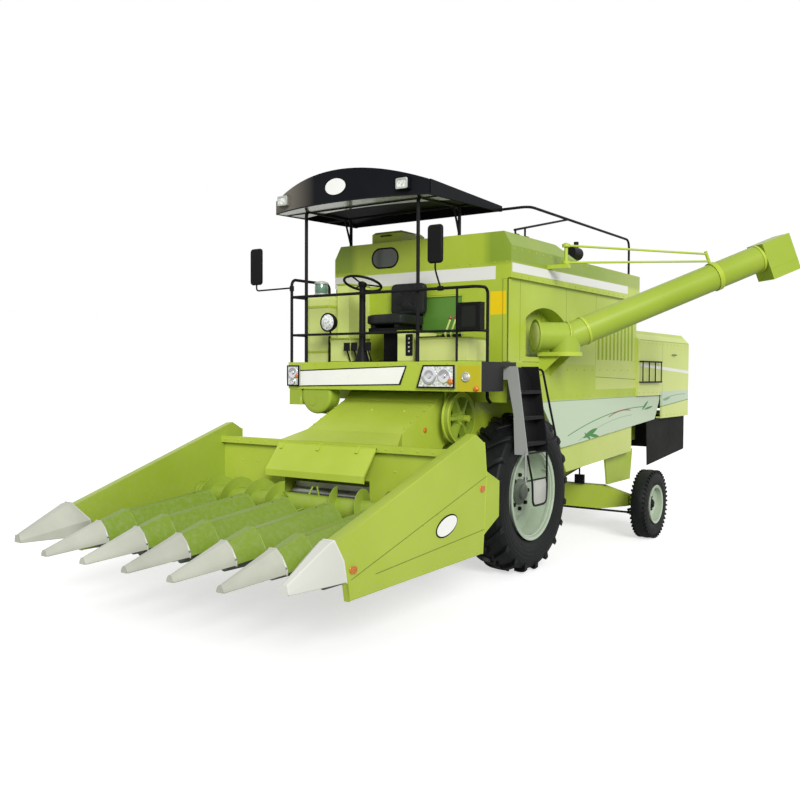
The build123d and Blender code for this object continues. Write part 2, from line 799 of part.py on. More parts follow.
# Stays from the upper pin to the tee on a collar round the tube
stay_at = 0.66 * tube_length
collar = bend + climb * stay_at
lift_up = climb.cross(turn.cross(Vector(0, 0, 1))).normalized() * -1
tee_foot = collar + lift_up * (auger_tube_radius + 30)
tee_top = collar + lift_up * (auger_tube_radius + 110)
with BuildPart() as auger_stays:
    for z, end in ((pin_foot_z + 1, tee_foot), (pin_top_z - 40, tee_top)):
        with BuildSketch(level_plane(z)) as ring:
            with Locations((swivel_x, swivel_y)):
                Circle(40)
                Circle(18 + shaft_gap, mode=Mode.SUBTRACT)
        extrude(ring.sketch, amount=30)
        rod(Vector(swivel_x, swivel_y, z + 15) + turn * 34, end, 11)
    rod(collar + lift_up * (auger_tube_radius + 5), tee_top + lift_up * 30, 16)
    rod(collar - climb * 25, collar + climb * 25, auger_tube_radius + 12)
    rod(collar - climb * 30, collar + climb * 30, auger_tube_radius + shaft_gap, mode=Mode.SUBTRACT)
save(auger_stays.part, "auger_stays")

# Rear axle stand under the rails, and the swinging rear axle on its pin
axle_pivot_z = 440
with BuildPart() as axle_stand:
    for y in (wheelbase - 105, wheelbase + 80):
        with BuildSketch(cross_plane(y + 25)):
            Polygon(
                (-core_half, rail_bottom_z), (-core_half, rail_bottom_z - 60), (-230, 600), (-110, axle_pivot_z - 80),
                (110, axle_pivot_z - 80), (230, 600), (core_half, rail_bottom_z - 60), (core_half, rail_bottom_z),
                align=None,
            )
        extrude(amount=25)
    rod((0, wheelbase - 120, axle_pivot_z), (0, wheelbase + 120, axle_pivot_z), 35)
save(axle_stand.part, "axle_stand")

kingpin_x = 1232
eye_bottom_z = 350
eye_top_z = 490
with BuildPart() as rear_axle:
    with BuildSketch(cross_plane(wheelbase + 75)):
        Polygon(
            (-820, 300), (820, 300), (1190, 365), (kingpin_x, 365), (kingpin_x, 475), (1190, 475), (820, 580),
            (-820, 580), (-1190, 475), (-kingpin_x, 475), (-kingpin_x, 365), (-1190, 365),
            align=None,
        )
    extrude(amount=150)
    for side in (1, -1):
        block(
            (side * kingpin_x - 60, wheelbase - 90, 300), (side * kingpin_x + 60, wheelbase - 44, 550),
            mode=Mode.SUBTRACT,
        )
        block(
            (side * kingpin_x - 60, wheelbase + 44, 300), (side * kingpin_x + 60, wheelbase + 90, 550),
            mode=Mode.SUBTRACT,
        )
        rod((side * kingpin_x, wheelbase, eye_bottom_z), (side * kingpin_x, wheelbase, eye_top_z), 45)
        rod(
            (side * kingpin_x, wheelbase, eye_bottom_z - 5), (side * kingpin_x, wheelbase, eye_top_z + 5),
            25 + shaft_gap, mode=Mode.SUBTRACT,
        )
    rod((0, wheelbase - 80, axle_pivot_z), (0, wheelbase + 80, axle_pivot_z), 35 + shaft_gap, mode=Mode.SUBTRACT)
save(rear_axle.part, "rear_axle")

# Steering knuckles: a fork on the kingpin, a stub for the wheel and an arm for the tie rod
arm_reach = 200
plate = 20
for side, word in ((1, "left"), (-1, "right")):
    pin_x = side * kingpin_x
    with BuildPart() as knuckle:
        for low in (eye_bottom_z - 2 - plate, eye_top_z + 2):
            with BuildSketch(level_plane(low)):
                with Locations((pin_x, wheelbase)):
                    Circle(44)
                with Locations((pin_x + side * 32, wheelbase)):
                    Rectangle(63, 88)
            extrude(amount=plate)
        block(
            (min(pin_x + side * 47, pin_x + side * 63), wheelbase - 50, eye_bottom_z - 2 - plate),
            (max(pin_x + side * 47, pin_x + side * 63), wheelbase + 50, eye_top_z + 2 + plate),
        )
        rod((pin_x, wheelbase, eye_bottom_z - 2 - plate), (pin_x, wheelbase, eye_top_z + 2 + plate), 25)
        rod(
            (pin_x + side * 55, wheelbase, rear_tyre_radius),
            (side * (rear_track / 2 + 40), wheelbase, rear_tyre_radius), rear_stub_radius,
        )
        block(
            (pin_x - 22, wheelbase - arm_reach, eye_bottom_z - 2 - plate),
            (pin_x + 22, wheelbase - 30, eye_bottom_z - 2),
        )
        rod(
            (pin_x, wheelbase - arm_reach, eye_bottom_z - 2 - plate - 34),
            (pin_x, wheelbase - arm_reach, eye_bottom_z - 2), 10,
        )
    save(knuckle.part, f"knuckle_{word}")

# Tie rod between the knuckle arms
tie_z = eye_bottom_z - 2 - plate - 20
with BuildPart() as tie_rod:
    rod(
        (-kingpin_x + 15, wheelbase - arm_reach, tie_z), (kingpin_x - 15, wheelbase - arm_reach, tie_z), 12,
    )
    for side in (1, -1):
        pin = (side * kingpin_x, wheelbase - arm_reach)
        rod((*pin, tie_z - 14), (*pin, tie_z + 14), 24)
        rod((*pin, tie_z - 20), (*pin, tie_z + 20), 10 + shaft_gap, mode=Mode.SUBTRACT)
save(tie_rod.part, "tie_rod")

# Feeder drive pulley on the lift shaft, left side
pulley_x = cheek_x + cheek + 60
with BuildPart() as feeder_pulley:
    with BuildSketch(side_plane(pulley_x)):
        with Locations((lift_y, lift_z)):
            Circle(235)
            Circle(200, mode=Mode.SUBTRACT)
            Circle(70)
            for turned in (0, 60, 120):
                Rectangle(410, 34, rotation=turned)
    extrude(amount=70)
    with BuildSketch(side_plane(pulley_x)):
        with Locations((lift_y, lift_z)):
            Circle(62)
    extrude(amount=110, taper=15)
    rod((pulley_x - 10, lift_y, lift_z), (pulley_x + 200, lift_y, lift_z), 30 + shaft_gap, mode=Mode.SUBTRACT)
save(feeder_pulley.part, "feeder_pulley")

# Feeder house: from the lift shaft forward and down to the header's back wall
mouth_top_z = 1290
mouth_bottom_z = 620
mouth_rear_y = header_back_y + 290
opening_low_x = -550
opening_high_x = 430
opening_bottom_z = 660
opening_top_z = 1000
beater_y = header_back_y + 110
beater_z = 830
beater_shaft = 20
beater_drum = 55
beater_reach = 100
bearing_depth = 40
with BuildPart() as feeder_house:
    with BuildSketch(side_plane(-feeder_half)):
        Polygon(
            (lift_y, lift_z + feeder_round), (header_back_y + 300, mouth_top_z + 110),
            (header_back_y + 300, mouth_bottom_z + 190), (lift_y, lift_z - feeder_round),
            align=None,
        )
        with Locations((lift_y, lift_z)):
            Circle(feeder_round)
    extrude(amount=2 * feeder_half)
    for y, half, bottom, top in (
        (header_back_y + 300, feeder_half, mouth_bottom_z + 190, mouth_top_z + 110),
        (header_back_y, feeder_mouth_half, mouth_bottom_z, mouth_top_z),
    ):
        with BuildSketch(cross_plane(y)):
            Polygon((-half, bottom), (half, bottom), (half, top), (-half, top), align=None)
    loft(ruled=True)
    block(
        (opening_low_x, header_back_y - 5, opening_bottom_z), (opening_high_x, mouth_rear_y, opening_top_z),
        mode=Mode.SUBTRACT,
    )
    rod(
        (opening_low_x - bearing_depth, beater_y, beater_z), (opening_high_x + bearing_depth, beater_y, beater_z),
        beater_shaft + shaft_gap, mode=Mode.SUBTRACT,
    )
    rod((-feeder_half - 5, lift_y, lift_z), (feeder_half + 5, lift_y, lift_z), 30 + shaft_gap, mode=Mode.SUBTRACT)
    for side in (1, -1):
        for ear in (-1, 1):
            ear_x = side * cylinder_x + ear * (rod_radius + 18)
            with BuildSketch(side_plane(ear_x - 6)):
                Polygon(
                    (cylinder_eye_y - 90, 900), (cylinder_eye_y + 150, 1000),
                    (cylinder_eye_y + 40, cylinder_eye_z - 35), (cylinder_eye_y - 40, cylinder_eye_z - 35),
                    align=None,
                )
            extrude(amount=12)
save(feeder_house.part, "feeder_house")

# Lift cylinders: barrels on the axle's ears, rods to the feeder's ears
along = Vector(0, cylinder_eye_y - cylinder_base_y, cylinder_eye_z - cylinder_base_z).normalized()
with BuildPart() as lift_barrels:
    for side in (1, -1):
        base = Vector(side * cylinder_x, cylinder_base_y, cylinder_base_z)
        rod(base + along * 20, base + along * barrel_length, barrel_radius)
        rod(base - Vector(34, 0, 0), base + Vector(34, 0, 0), 36)
        rod(base - Vector(60, 0, 0), base + Vector(60, 0, 0), 16 + shaft_gap, mode=Mode.SUBTRACT)
        rod(base + along * 90, base + along * (barrel_length + 5), rod_radius + shaft_gap, mode=Mode.SUBTRACT)
save(lift_barrels.part, "lift_barrels")
with BuildPart() as lift_rods:
    for side in (1, -1):
        eye = Vector(side * cylinder_x, cylinder_eye_y, cylinder_eye_z)
        rod(eye - along * 20, eye - along * rod_length, rod_radius)
        rod(eye - Vector(28, 0, 0), eye + Vector(28, 0, 0), 38)
        rod(eye - Vector(40, 0, 0), eye + Vector(40, 0, 0), 18, mode=Mode.SUBTRACT)
save(lift_rods.part, "lift_rods")

# Header trough: back wall with its top beam and feed opening, and a rounded floor
wall = 12
trough_half = header_half - end_thickness
guard_axis_y = header_back_y - 75
guard_axis_z = 1290
guard_pin = 8
lug_half = 15
guard_lugs = (-500, -65, 370)
with BuildPart() as header_trough:
    with BuildSketch(side_plane(-trough_half)):
        with BuildLine():
            Polyline(
                (header_back_y - wall, 700), (header_back_y - wall, header_back_z - 60),
                (header_back_y - 60, header_back_z - 60), (header_back_y - 60, header_back_z),
                (header_back_y, header_back_z), (header_back_y, 690),
            )
            ThreePointArc((header_back_y, 690), (header_back_y - 85, 580), (-1990, 545))
            ThreePointArc((-1990, 545), (-2190, 575), (-2280, 650))
            Line((-2280, 650), (-2280 + wall, 655))
            ThreePointArc((-2280 + wall, 655), (-2185, 590), (-1990, 557))
            ThreePointArc((-1990, 557), (header_back_y - 92, 592), (header_back_y - wall, 700))
        make_face()
    extrude(amount=2 * trough_half)
    block(
        (opening_low_x, header_back_y - 100, opening_bottom_z), (opening_high_x, header_back_y + 5, opening_top_z),
        mode=Mode.SUBTRACT,
    )
    for x in guard_lugs:
        block(
            (x - lug_half, guard_axis_y - 14, guard_axis_z - 14), (x + lug_half, header_back_y - 60, guard_axis_z + 14),
        )
        rod(
            (x - 20, guard_axis_y, guard_axis_z), (x + 20, guard_axis_y, guard_axis_z), guard_pin + shaft_gap,
            mode=Mode.SUBTRACT,
        )
save(header_trough.part, "header_trough")

auger_shaft = 25
auger_shaft_depth = 45
# End dividers: deep side plates from the back wall to the outer snouts, and the left chain cover
with BuildPart() as end_dividers:
    for side in (1, -1):
        with BuildSketch(side_plane(trough_half if side > 0 else -header_half)):
            Polygon(
                (-1530, 480), (-1470, 1090), (-1500, 1430), (-1560, 1420), (cap_rear_y, 830),
                (cap_rear_y + 130, 560), (cap_rear_y + 160, 430),
                align=None,
            )
        extrude(amount=end_thickness)
        rod(
            (side * (trough_half - 5), cross_auger_y, cross_auger_z),
            (side * (trough_half + auger_shaft_depth + 1), cross_auger_y, cross_auger_z),
            auger_shaft + shaft_gap, mode=Mode.SUBTRACT,
        )
    with BuildSketch(side_plane(trough_half + 20)):
        Polygon((-1500, 1150), (-1260, 1030), (-1250, 720), (-1500, 620), align=None)
    extrude(amount=60)
save(end_dividers.part, "end_dividers")

# Inner dividers: ridged covers between the rows
divider_half = 150
divider_base_z = 600
with BuildPart() as inner_dividers:
    for column in range(1, rows):
        x = (column - rows / 2) * row_spacing
        for y, half, base, shoulder, ridge in (
            (-2300, divider_half, divider_base_z, 800, 900),
            (-3150, divider_half, divider_base_z, 720, 850),
            (cap_rear_y, 125, 560, 660, 765),
        ):
            with BuildSketch(cross_plane(y)):
                Polygon(
                    (x - half, base), (x - half, shoulder), (x - 30, ridge), (x + 30, ridge), (x + half, shoulder),
                    (x + half, base),
                    align=None,
                )
        loft(ruled=True)
save(inner_dividers.part, "inner_dividers")

# Snout caps, one on each divider
with BuildPart() as snout_caps:
    for column in range(rows + 1):
        x = (column - rows / 2) * row_spacing
        if column in (0, rows):
            x = x - 15 * (1 if x > 0 else -1)
            sections = ((cap_rear_y - shaft_gap, 130, 565, 690, 828), (cap_tip_y + 240, 22, 585, 600, 625))
        else:
            sections = ((cap_rear_y - shaft_gap, 125, 545, 660, 765), (cap_tip_y, 20, 580, 592, 615))
        for y, half, base, shoulder, ridge in sections:
            with BuildSketch(cross_plane(y)):
                Polygon(
                    (x - half, base), (x - half, shoulder), (x - 0.25 * half, ridge), (x + 0.25 * half, ridge),
                    (x + half, shoulder), (x + half, base),
                    align=None,
                )
        loft(ruled=True)
save(snout_caps.part, "snout_caps")

# Row units: a toolbar with deck plates and snapping rolls for each row
toolbar_y = -2400
with BuildPart() as row_units:
    block((-trough_half, toolbar_y - 100, 470), (trough_half, toolbar_y, 570))
    for column in range(1, rows):
        x = (column - rows / 2) * row_spacing
        block((x - 60, toolbar_y - 100, 570), (x + 60, toolbar_y, divider_base_z))
    for column in range(rows):
        x = (column + 0.5 - rows / 2) * row_spacing
        for side in (1, -1):
            low_x = x + 20 if side > 0 else x - 85
            block((low_x, cap_rear_y + 100, 570), (low_x + 65, toolbar_y + 60, 590))
            roll_x = x + side * 45
            rod((roll_x, toolbar_y - 60, 520), (roll_x, cap_rear_y + 160, 520), 40)
save(row_units.part, "row_units")

# Cross auger in the trough: a tube with flights that lead to the middle
with BuildPart() as cross_auger:
    rod(
        (-trough_half + 10, cross_auger_y, cross_auger_z), (trough_half - 10, cross_auger_y, cross_auger_z),
        cross_auger_tube,
    )
    for side in (1, -1):
        for turn_number in range(5):
            flight_x = side * (260 + 220 * turn_number)
            with BuildSketch(
                Plane(origin=(flight_x, cross_auger_y, cross_auger_z), z_dir=(1, side * 0.33, 0))
            ):
                Circle(cross_auger_flight)
            extrude(amount=8, both=True)
    rod(
        (-trough_half - auger_shaft_depth, cross_auger_y, cross_auger_z),
        (trough_half + auger_shaft_depth, cross_auger_y, cross_auger_z), auger_shaft,
    )
save(cross_auger.part, "cross_auger")

# Throat beater in the feeder's mouth: a drum with four bars on a shaft
with BuildPart() as throat_beater:
    rod(
        (opening_low_x - bearing_depth + 1, beater_y, beater_z),
        (opening_high_x + bearing_depth - 1, beater_y, beater_z), beater_shaft,
    )
    rod((opening_low_x + 15, beater_y, beater_z), (opening_high_x - 15, beater_y, beater_z), beater_drum)
    with BuildSketch(side_plane(opening_low_x + 25)) as bars:
        with Locations((beater_y, beater_z)):
            Rectangle(2 * beater_reach, 14)
            Rectangle(14, 2 * beater_reach)
    extrude(bars.sketch, amount=opening_high_x - opening_low_x - 50)
save(throat_beater.part, "throat_beater")

# Throat guard: a hood that hangs on three lugs above the feed opening
guard_low_x = -700
guard_high_x = 570
with BuildPart() as throat_guard:
    with BuildSketch(side_plane(guard_low_x)):
        Polygon(
            (guard_axis_y, guard_axis_z + 6), (guard_axis_y, guard_axis_z - 6), (-1935, 1060), (-1935, 1010),
            (-1947, 1010), (-1947, 1070),
            align=None,
        )
    extrude(amount=guard_high_x - guard_low_x)
    rod((guard_low_x, guard_axis_y, guard_axis_z), (guard_high_x, guard_axis_y, guard_axis_z), guard_pin)
    for x in guard_lugs:
        block(
            (x - lug_half - 5, guard_axis_y - 40, guard_axis_z - 60), (x + lug_half + 5, guard_axis_y + 20, guard_axis_z + 20),
            mode=Mode.SUBTRACT,
        )
        rod((x - lug_half - 6, guard_axis_y, guard_axis_z), (x + lug_half + 6, guard_axis_y, guard_axis_z), guard_pin)
save(throat_guard.part, "throat_guard")

print("origin", round(origin_x, 3), round(origin_y, 3))
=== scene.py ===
"""A combine harvester with a maize header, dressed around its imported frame.

Places are in metres from the ground under the middle of the front axle, with +X to the machine's
left, +Y to its rear and +Z up; here() moves them into the part's own frame.
"""
import math

import bpy
import numpy as np
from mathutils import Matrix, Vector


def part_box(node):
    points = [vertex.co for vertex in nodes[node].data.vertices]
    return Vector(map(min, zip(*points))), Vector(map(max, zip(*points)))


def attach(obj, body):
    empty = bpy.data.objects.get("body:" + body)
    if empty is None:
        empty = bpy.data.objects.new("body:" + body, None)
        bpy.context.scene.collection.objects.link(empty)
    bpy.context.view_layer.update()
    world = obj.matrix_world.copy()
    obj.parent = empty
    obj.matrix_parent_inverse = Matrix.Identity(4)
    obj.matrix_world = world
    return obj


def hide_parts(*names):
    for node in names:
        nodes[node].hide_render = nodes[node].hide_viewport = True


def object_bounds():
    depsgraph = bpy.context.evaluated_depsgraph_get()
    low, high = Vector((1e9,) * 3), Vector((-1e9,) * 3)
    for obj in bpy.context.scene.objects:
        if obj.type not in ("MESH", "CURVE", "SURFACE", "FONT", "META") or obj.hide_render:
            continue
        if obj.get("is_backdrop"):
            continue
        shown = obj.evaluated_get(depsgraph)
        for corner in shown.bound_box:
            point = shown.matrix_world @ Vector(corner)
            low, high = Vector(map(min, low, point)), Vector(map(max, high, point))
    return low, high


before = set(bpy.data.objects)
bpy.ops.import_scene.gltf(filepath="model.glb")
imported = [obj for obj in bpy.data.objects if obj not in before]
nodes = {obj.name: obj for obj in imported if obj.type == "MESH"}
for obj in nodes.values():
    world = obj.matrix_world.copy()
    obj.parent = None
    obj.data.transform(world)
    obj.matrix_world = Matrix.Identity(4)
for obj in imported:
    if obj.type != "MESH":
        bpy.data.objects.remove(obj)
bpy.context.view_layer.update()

# The middle between the front tyres' boxes lies over the place that all measures start from
tyre_boxes = np.array([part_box("front_tyre_left"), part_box("front_tyre_right")])
START = tyre_boxes.mean(axis=(0, 1)) * (1, 1, 0)


def here(places):
    """Points measured from the ground under the front axle, moved into the part's frame."""
    return np.asarray(places, float) + START


# Places that several pieces share

SIDES = ((1, "left"), (-1, "right"))
FRONT_AXLE_Z = 0.776
REAR_AXLE_Y, REAR_AXLE_Z = 2.5, 0.403
BODY_HALF, HOOD_HALF = 1.030, 1.060
TANK_FRONT_Y, HOOD_REAR_Y = -0.354, 5.030
FASCIA_Y, DECK_Z = -1.025, 2.040
ROW_SPACING, DIVIDER_HALF = 0.470, 1.450

# Finishes


class Number:
    """A number that a finish works out over a surface: arithmetic on it adds Math nodes."""

    def __init__(self, finish, socket):
        self.finish = finish
        self.socket = socket

    def maths(self, operation, *others, clamp=False):
        node = self.finish.node("ShaderNodeMath", {"operation": operation, "use_clamp": clamp})
        for place, value in enumerate((self, *others)):
            self.finish.feed(node.inputs[place], value)
        return Number(self.finish, node.outputs[0])

    def __add__(self, other):
        return self.maths("ADD", other)

    __radd__ = __add__

    def __mul__(self, other):
        return self.maths("MULTIPLY", other)

    __rmul__ = __mul__

    def __sub__(self, other):
        return self.maths("SUBTRACT", other)

    def __rsub__(self, other):
        return (self * -1.0) + other

    def __truediv__(self, other):
        return self.maths("DIVIDE", other)

    def clipped(self):
        return self.maths("ADD", 0.0, clamp=True)

    def above(self, edge, soft=0.004):
        """0 below the edge and 1 above it, with a ramp of width soft between."""
        return ((self - edge) / soft + 0.5).clipped()

    def below(self, edge, soft=0.004):
        """1 below the edge and 0 above it."""
        return 1.0 - self.above(edge, soft)

    def within(self, low, high, soft=0.004):
        """1 between low and high, and 0 outside."""
        return self.above(low, soft) * self.below(high, soft)

    def size(self):
        return self.maths("ABSOLUTE")

    def sine(self):
        return self.maths("SINE")

    def root(self):
        return self.maths("SQRT")


class Finish:
    """A material made of nodes around one Principled shader."""

    def __init__(self, name, **sockets):
        self.material = bpy.data.materials.new(name)
        self.material.use_nodes = True
        self.tree = self.material.node_tree
        self.shader = self.tree.nodes["Principled BSDF"]
        for socket, value in sockets.items():
            self.shader.inputs[socket.replace("_", " ")].default_value = value
        self.place = self.node("ShaderNodeTexCoord", {}).outputs["Object"]
        parts = self.node("ShaderNodeSeparateXYZ", {}, {"Vector": self.place})
        self.x, self.y, self.z = (
            Number(self, parts.outputs[axis]) - float(START[axis]) for axis in range(3)
        )

    def node(self, kind, settings, values=None):
        """One node: its settings first, then the values or links of its sockets."""
        made = self.tree.nodes.new(kind)
        for key, value in settings.items():
            setattr(made, key, value)
        for key, value in (values or {}).items():
            self.feed(made.inputs[key], value)
        return made

    def feed(self, socket, value):
        """Links a value worked out by nodes to a socket, or writes a plain one there."""
        if isinstance(value, Number):
            value = value.socket
        if isinstance(value, bpy.types.NodeSocket):
            self.tree.links.new(value, socket)
        else:
            socket.default_value = value

    def noise(self, scale, detail=3.0, roughness=0.5):
        made = self.node(
            "ShaderNodeTexNoise", {},
            {"Vector": self.place, "Scale": scale, "Detail": detail, "Roughness": roughness},
        )
        return Number(self, made.outputs["Fac"])

    def cells(self, scale):
        """The distance to the nearest of many scattered points."""
        made = self.node("ShaderNodeTexVoronoi", {}, {"Vector": self.place, "Scale": scale})
        return Number(self, made.outputs["Distance"])

    def spread(self, number, low, high):
        """A number stretched so that low becomes 0 and high becomes 1, and clipped."""
        made = self.node("ShaderNodeMapRange", {}, {"Value": number, "From Min": low, "From Max": high})
        return Number(self, made.outputs["Result"])

    def mix(self, share, first, second):
        """A colour that goes from first to second as share goes from 0 to 1."""
        made = self.node("ShaderNodeMix", {"data_type": "RGBA"})
        self.feed(made.inputs[0], share)
        self.feed(made.inputs[6], first)
        self.feed(made.inputs[7], second)
        return made.outputs[2]

    def facing(self):
        """The surface's own direction, as three numbers."""
        parts = self.node(
            "ShaderNodeSeparateXYZ", {},
            {"Vector": self.node("ShaderNodeNewGeometry", {}).outputs["True Normal"]},
        )
        return [Number(self, parts.outputs[i]) for i in range(3)]

    def bump(self, height, strength, distance):
        made = self.node("ShaderNodeBump", {}, {"Height": height, "Strength": strength, "Distance": distance})
        self.feed(self.shader.inputs["Normal"], made.outputs["Normal"])

    def set(self, socket, value):
        self.feed(self.shader.inputs[socket], value)


# Colours, as linear red, green, blue and alpha

LIME = (0.445, 0.545, 0.065, 1)
LIME_DEEP = (0.365, 0.475, 0.035, 1)
LIME_WORN = (0.47, 0.59, 0.07, 1)
LIME_SHADE = (0.10, 0.19, 0.02, 1)
# The next colour is painted light: the pale of the lime paint where light falls on it.
LIME_PAINTED_LIGHT = (0.72, 0.76, 0.33, 1)
DUST = (0.40, 0.39, 0.27, 1)
MINT = (0.50, 0.60, 0.44, 1)
WHITE = (0.74, 0.74, 0.70, 1)
LEAF = (0.05, 0.22, 0.05, 1)
LEAF_GREY = (0.22, 0.34, 0.22, 1)
BROWN = (0.30, 0.07, 0.04, 1)
YELLOW = (0.80, 0.56, 0.004, 1)
ORANGE = (0.50, 0.44, 0.018, 1)
SEAM = (0.13, 0.19, 0.012, 1)
BLACK = (0.004, 0.004, 0.004, 1)
GREEN_SHADOW = (0.10, 0.24, 0.035, 1)


def lime_paint(name, marks=(), deep=0.0, pale=0.0):
    """Gloss lime paint: broad fading, an orange-peel skin, dust low down and on top, and flat marks.

    Each mark is a function of the finish that returns a share and a colour, laid on in turn.
    """
    paint = Finish(name, Coat_Weight=0.08, Coat_Roughness=0.2, Specular_IOR_Level=0.2)
    fading = paint.spread(paint.noise(0.9, 4.0), 0.35, 0.68)
    colour = paint.mix(fading, LIME_DEEP, LIME)
    colour = paint.mix(paint.spread(paint.noise(3.5, 5.0, 0.6), 0.55, 0.8) * 0.35, colour, LIME_WORN)
    # deep lays painted shade over the whole surface, as a share of LIME_SHADE.
    if deep:
        colour = paint.mix(deep, colour, LIME_SHADE)
    # pale lays painted light over the whole surface, as a share of the lit lime tint.
    if pale:
        colour = paint.mix(pale, colour, LIME_PAINTED_LIGHT)
    up = paint.facing()[2]
    grains = paint.spread(paint.noise(26.0, 6.0, 0.65), 0.45, 0.75)
    dust = (paint.z.below(0.9, 1.1) * 0.30 + up.above(0.5, 0.8) * 0.10) * grains
    for mark in marks:
        share, tint = mark(paint)
        colour = paint.mix(share, colour, tint)
    colour = paint.mix(dust, colour, DUST)
    paint.set("Base Color", colour)
    paint.set("Roughness", 0.30 + dust * 0.9 + paint.noise(9.0, 3.0) * 0.08)
    paint.bump(paint.noise(240.0, 2.0) + paint.noise(5.0, 2.0) * 4.0, 0.06, 0.004)
    return paint.material


def between(finish, run, low_line, high_line):
    """1 inside run along Y and between two slanted lines, each given by its heights at run's ends."""
    first, last = run
    share = (finish.y - first) / (last - first)
    low = share * (low_line[1] - low_line[0]) + low_line[0]
    high = share * (high_line[1] - high_line[0]) + high_line[0]
    return (finish.z - low).above(0.0) * (high - finish.z).above(0.0) * finish.y.within(first, last)


def flank_band(run, low_line, high_line, half, tint):
    """A mark on both outer flanks: a band between two slanted lines, past half the width."""

    def mark(finish):
        return between(finish, run, low_line, high_line) * finish.x.size().above(half), tint

    return mark


def painted_flank_sheen(finish):
    """Painted highlight: both flanks are painted paler low down and towards the rear, by slow ramps along Y
    and Z, for the sheen of light on them.
    """
    share = finish.y.above(2.6, 2.4) * 0.30 + finish.z.below(2.0, 0.7) * 0.34
    return share * finish.x.size().above(0.99), LIME_PAINTED_LIGHT


def painted_shade_tank_top(finish):
    """Painted shade: the tank's sloped top is painted darker, where less light falls on it."""
    return finish.z.above(2.98, 0.05) * finish.x.size().above(0.80, 0.1) * 0.55, LIME_SHADE


def front_glare(finish):
    """Painted glare: the canopy's right corner is painted a grey brown along X, as light reflected off the
    visor.
    """
    return finish.x.below(-0.82, 0.40) * finish.y.below(-0.95) * 0.85, (0.22, 0.20, 0.165, 1)


def inner_flank_painted_shade(finish):
    """Painted shade: the end dividers' inner flanks are painted darker than their outer skins, as they lie in
    the dividers' shadow.
    """
    return finish.x.size().below(1.39, 0.06) * 0.22, LIME_SHADE


def outer_cap_painted_light(finish):
    """Painted light: the left end cap is painted whiter than the others, as it stands in full light."""
    return finish.x.above(1.15), (0.62, 0.63, 0.57, 1)


def seam_line(start, end, half):
    """A mark for a joint between two sheets: a thin dark line from start to end, as (y, z)."""

    def mark(finish):
        if abs(end[0] - start[0]) > abs(end[1] - start[1]):
            share = (finish.y - start[0]) / (end[0] - start[0])
            off = finish.z - (share * (end[1] - start[1]) + start[1])
        else:
            share = (finish.z - start[1]) / (end[1] - start[1])
            off = finish.y - (share * (end[0] - start[0]) + start[0])
        drawn = off.size().below(0.0035, 0.003) * share.within(0.0, 1.0, 0.01)
        return drawn * finish.x.size().above(half), SEAM

    return mark


def front_patch(x_run, z_run, tint, y=-0.35):
    """A mark on the walls that face forward from y on: a rectangle across X and Z."""

    def mark(finish):
        return finish.x.within(*x_run) * finish.z.within(*z_run) * finish.y.below(y), tint

    return mark


def sweep_line(start, end, rise, width, tint):
    """A thin swept curve across a flank: a straight run between two points, arched by rise."""

    def mark(finish):
        share = (finish.y - start[0]) / (end[0] - start[0])
        line = share * (end[1] - start[1]) + start[1] + share * (1.0 - share) * 4.0 * rise
        near = (finish.z - line).size().below(width, 0.004)
        return near * share.within(0.0, 1.0) * finish.x.size().above(1.02), tint

    return mark


def leaf(middle, length, width, lean, tint):
    """A pointed leaf on a flank: a lens between two bows along a leaning line."""
    slope, rise = math.cos(lean), math.sin(lean)

    def mark(finish):
        beside = finish.y - middle[0]
        over = finish.z - middle[1]
        along = (beside * slope + over * rise) / length
        across = over * slope - beside * rise
        room = (1.0 - along * along * 4.0) * width - across.size()
        return room.above(0.0, 0.003) * finish.x.size().above(1.02), tint

    return mark


def lining_painted_reflection(finish):
    """Painted reflection: the visor's lining goes from pale on the right to dark green on the left, along X.
    """
    return finish.x.above(0.10, 1.3), (0.04, 0.05, 0.02, 1)


def deck_plate(finish):
    """Dark grip plate on the platform's deck."""
    return finish.facing()[2].above(0.5) * finish.z.within(2.03, 2.05), (0.05, 0.055, 0.045, 1)


def side_plate_shadow(finish):
    """Painted shadow: the platform's left side plate is painted black, for the shade in the gap there."""
    return finish.x.above(1.122) * finish.y.above(-1.0), BLACK


def ladder_front_painted_light(finish):
    """Painted light: the front faces of the ladder are painted a paler grey, as they face the light."""
    return finish.y.below(-0.472), (0.30, 0.31, 0.30, 1)


def simple(name, colour, roughness, metallic=0.0, grain=60.0, contrast=0.25, bump=0.08, coat=0.0, marks=()):
    """A plain finish with a slow change of tone, a fine grain and worn roughness."""
    gloss = 0.5 if max(colour) > 0.06 else 0.06
    made = Finish(name, Metallic=metallic, Coat_Weight=coat, Coat_Roughness=0.15, Specular_IOR_Level=gloss)
    shade = made.spread(made.noise(grain * 0.04, 4.0), 0.3, 0.7)
    darker = tuple(c * (1 - contrast) for c in colour[:3]) + (1,)
    lighter = tuple(min(1, c * (1 + contrast)) for c in colour[:3]) + (1,)
    tone = made.mix(shade, darker, lighter)
    for mark in marks:
        share, tint = mark(made)
        tone = made.mix(share, tone, tint)
    made.set("Base Color", tone)
    made.set("Roughness", roughness - 0.08 + made.noise(grain * 0.2, 4.0) * 0.16)
    made.bump(made.noise(grain, 4.0, 0.6), bump, 0.002)
    return made.material


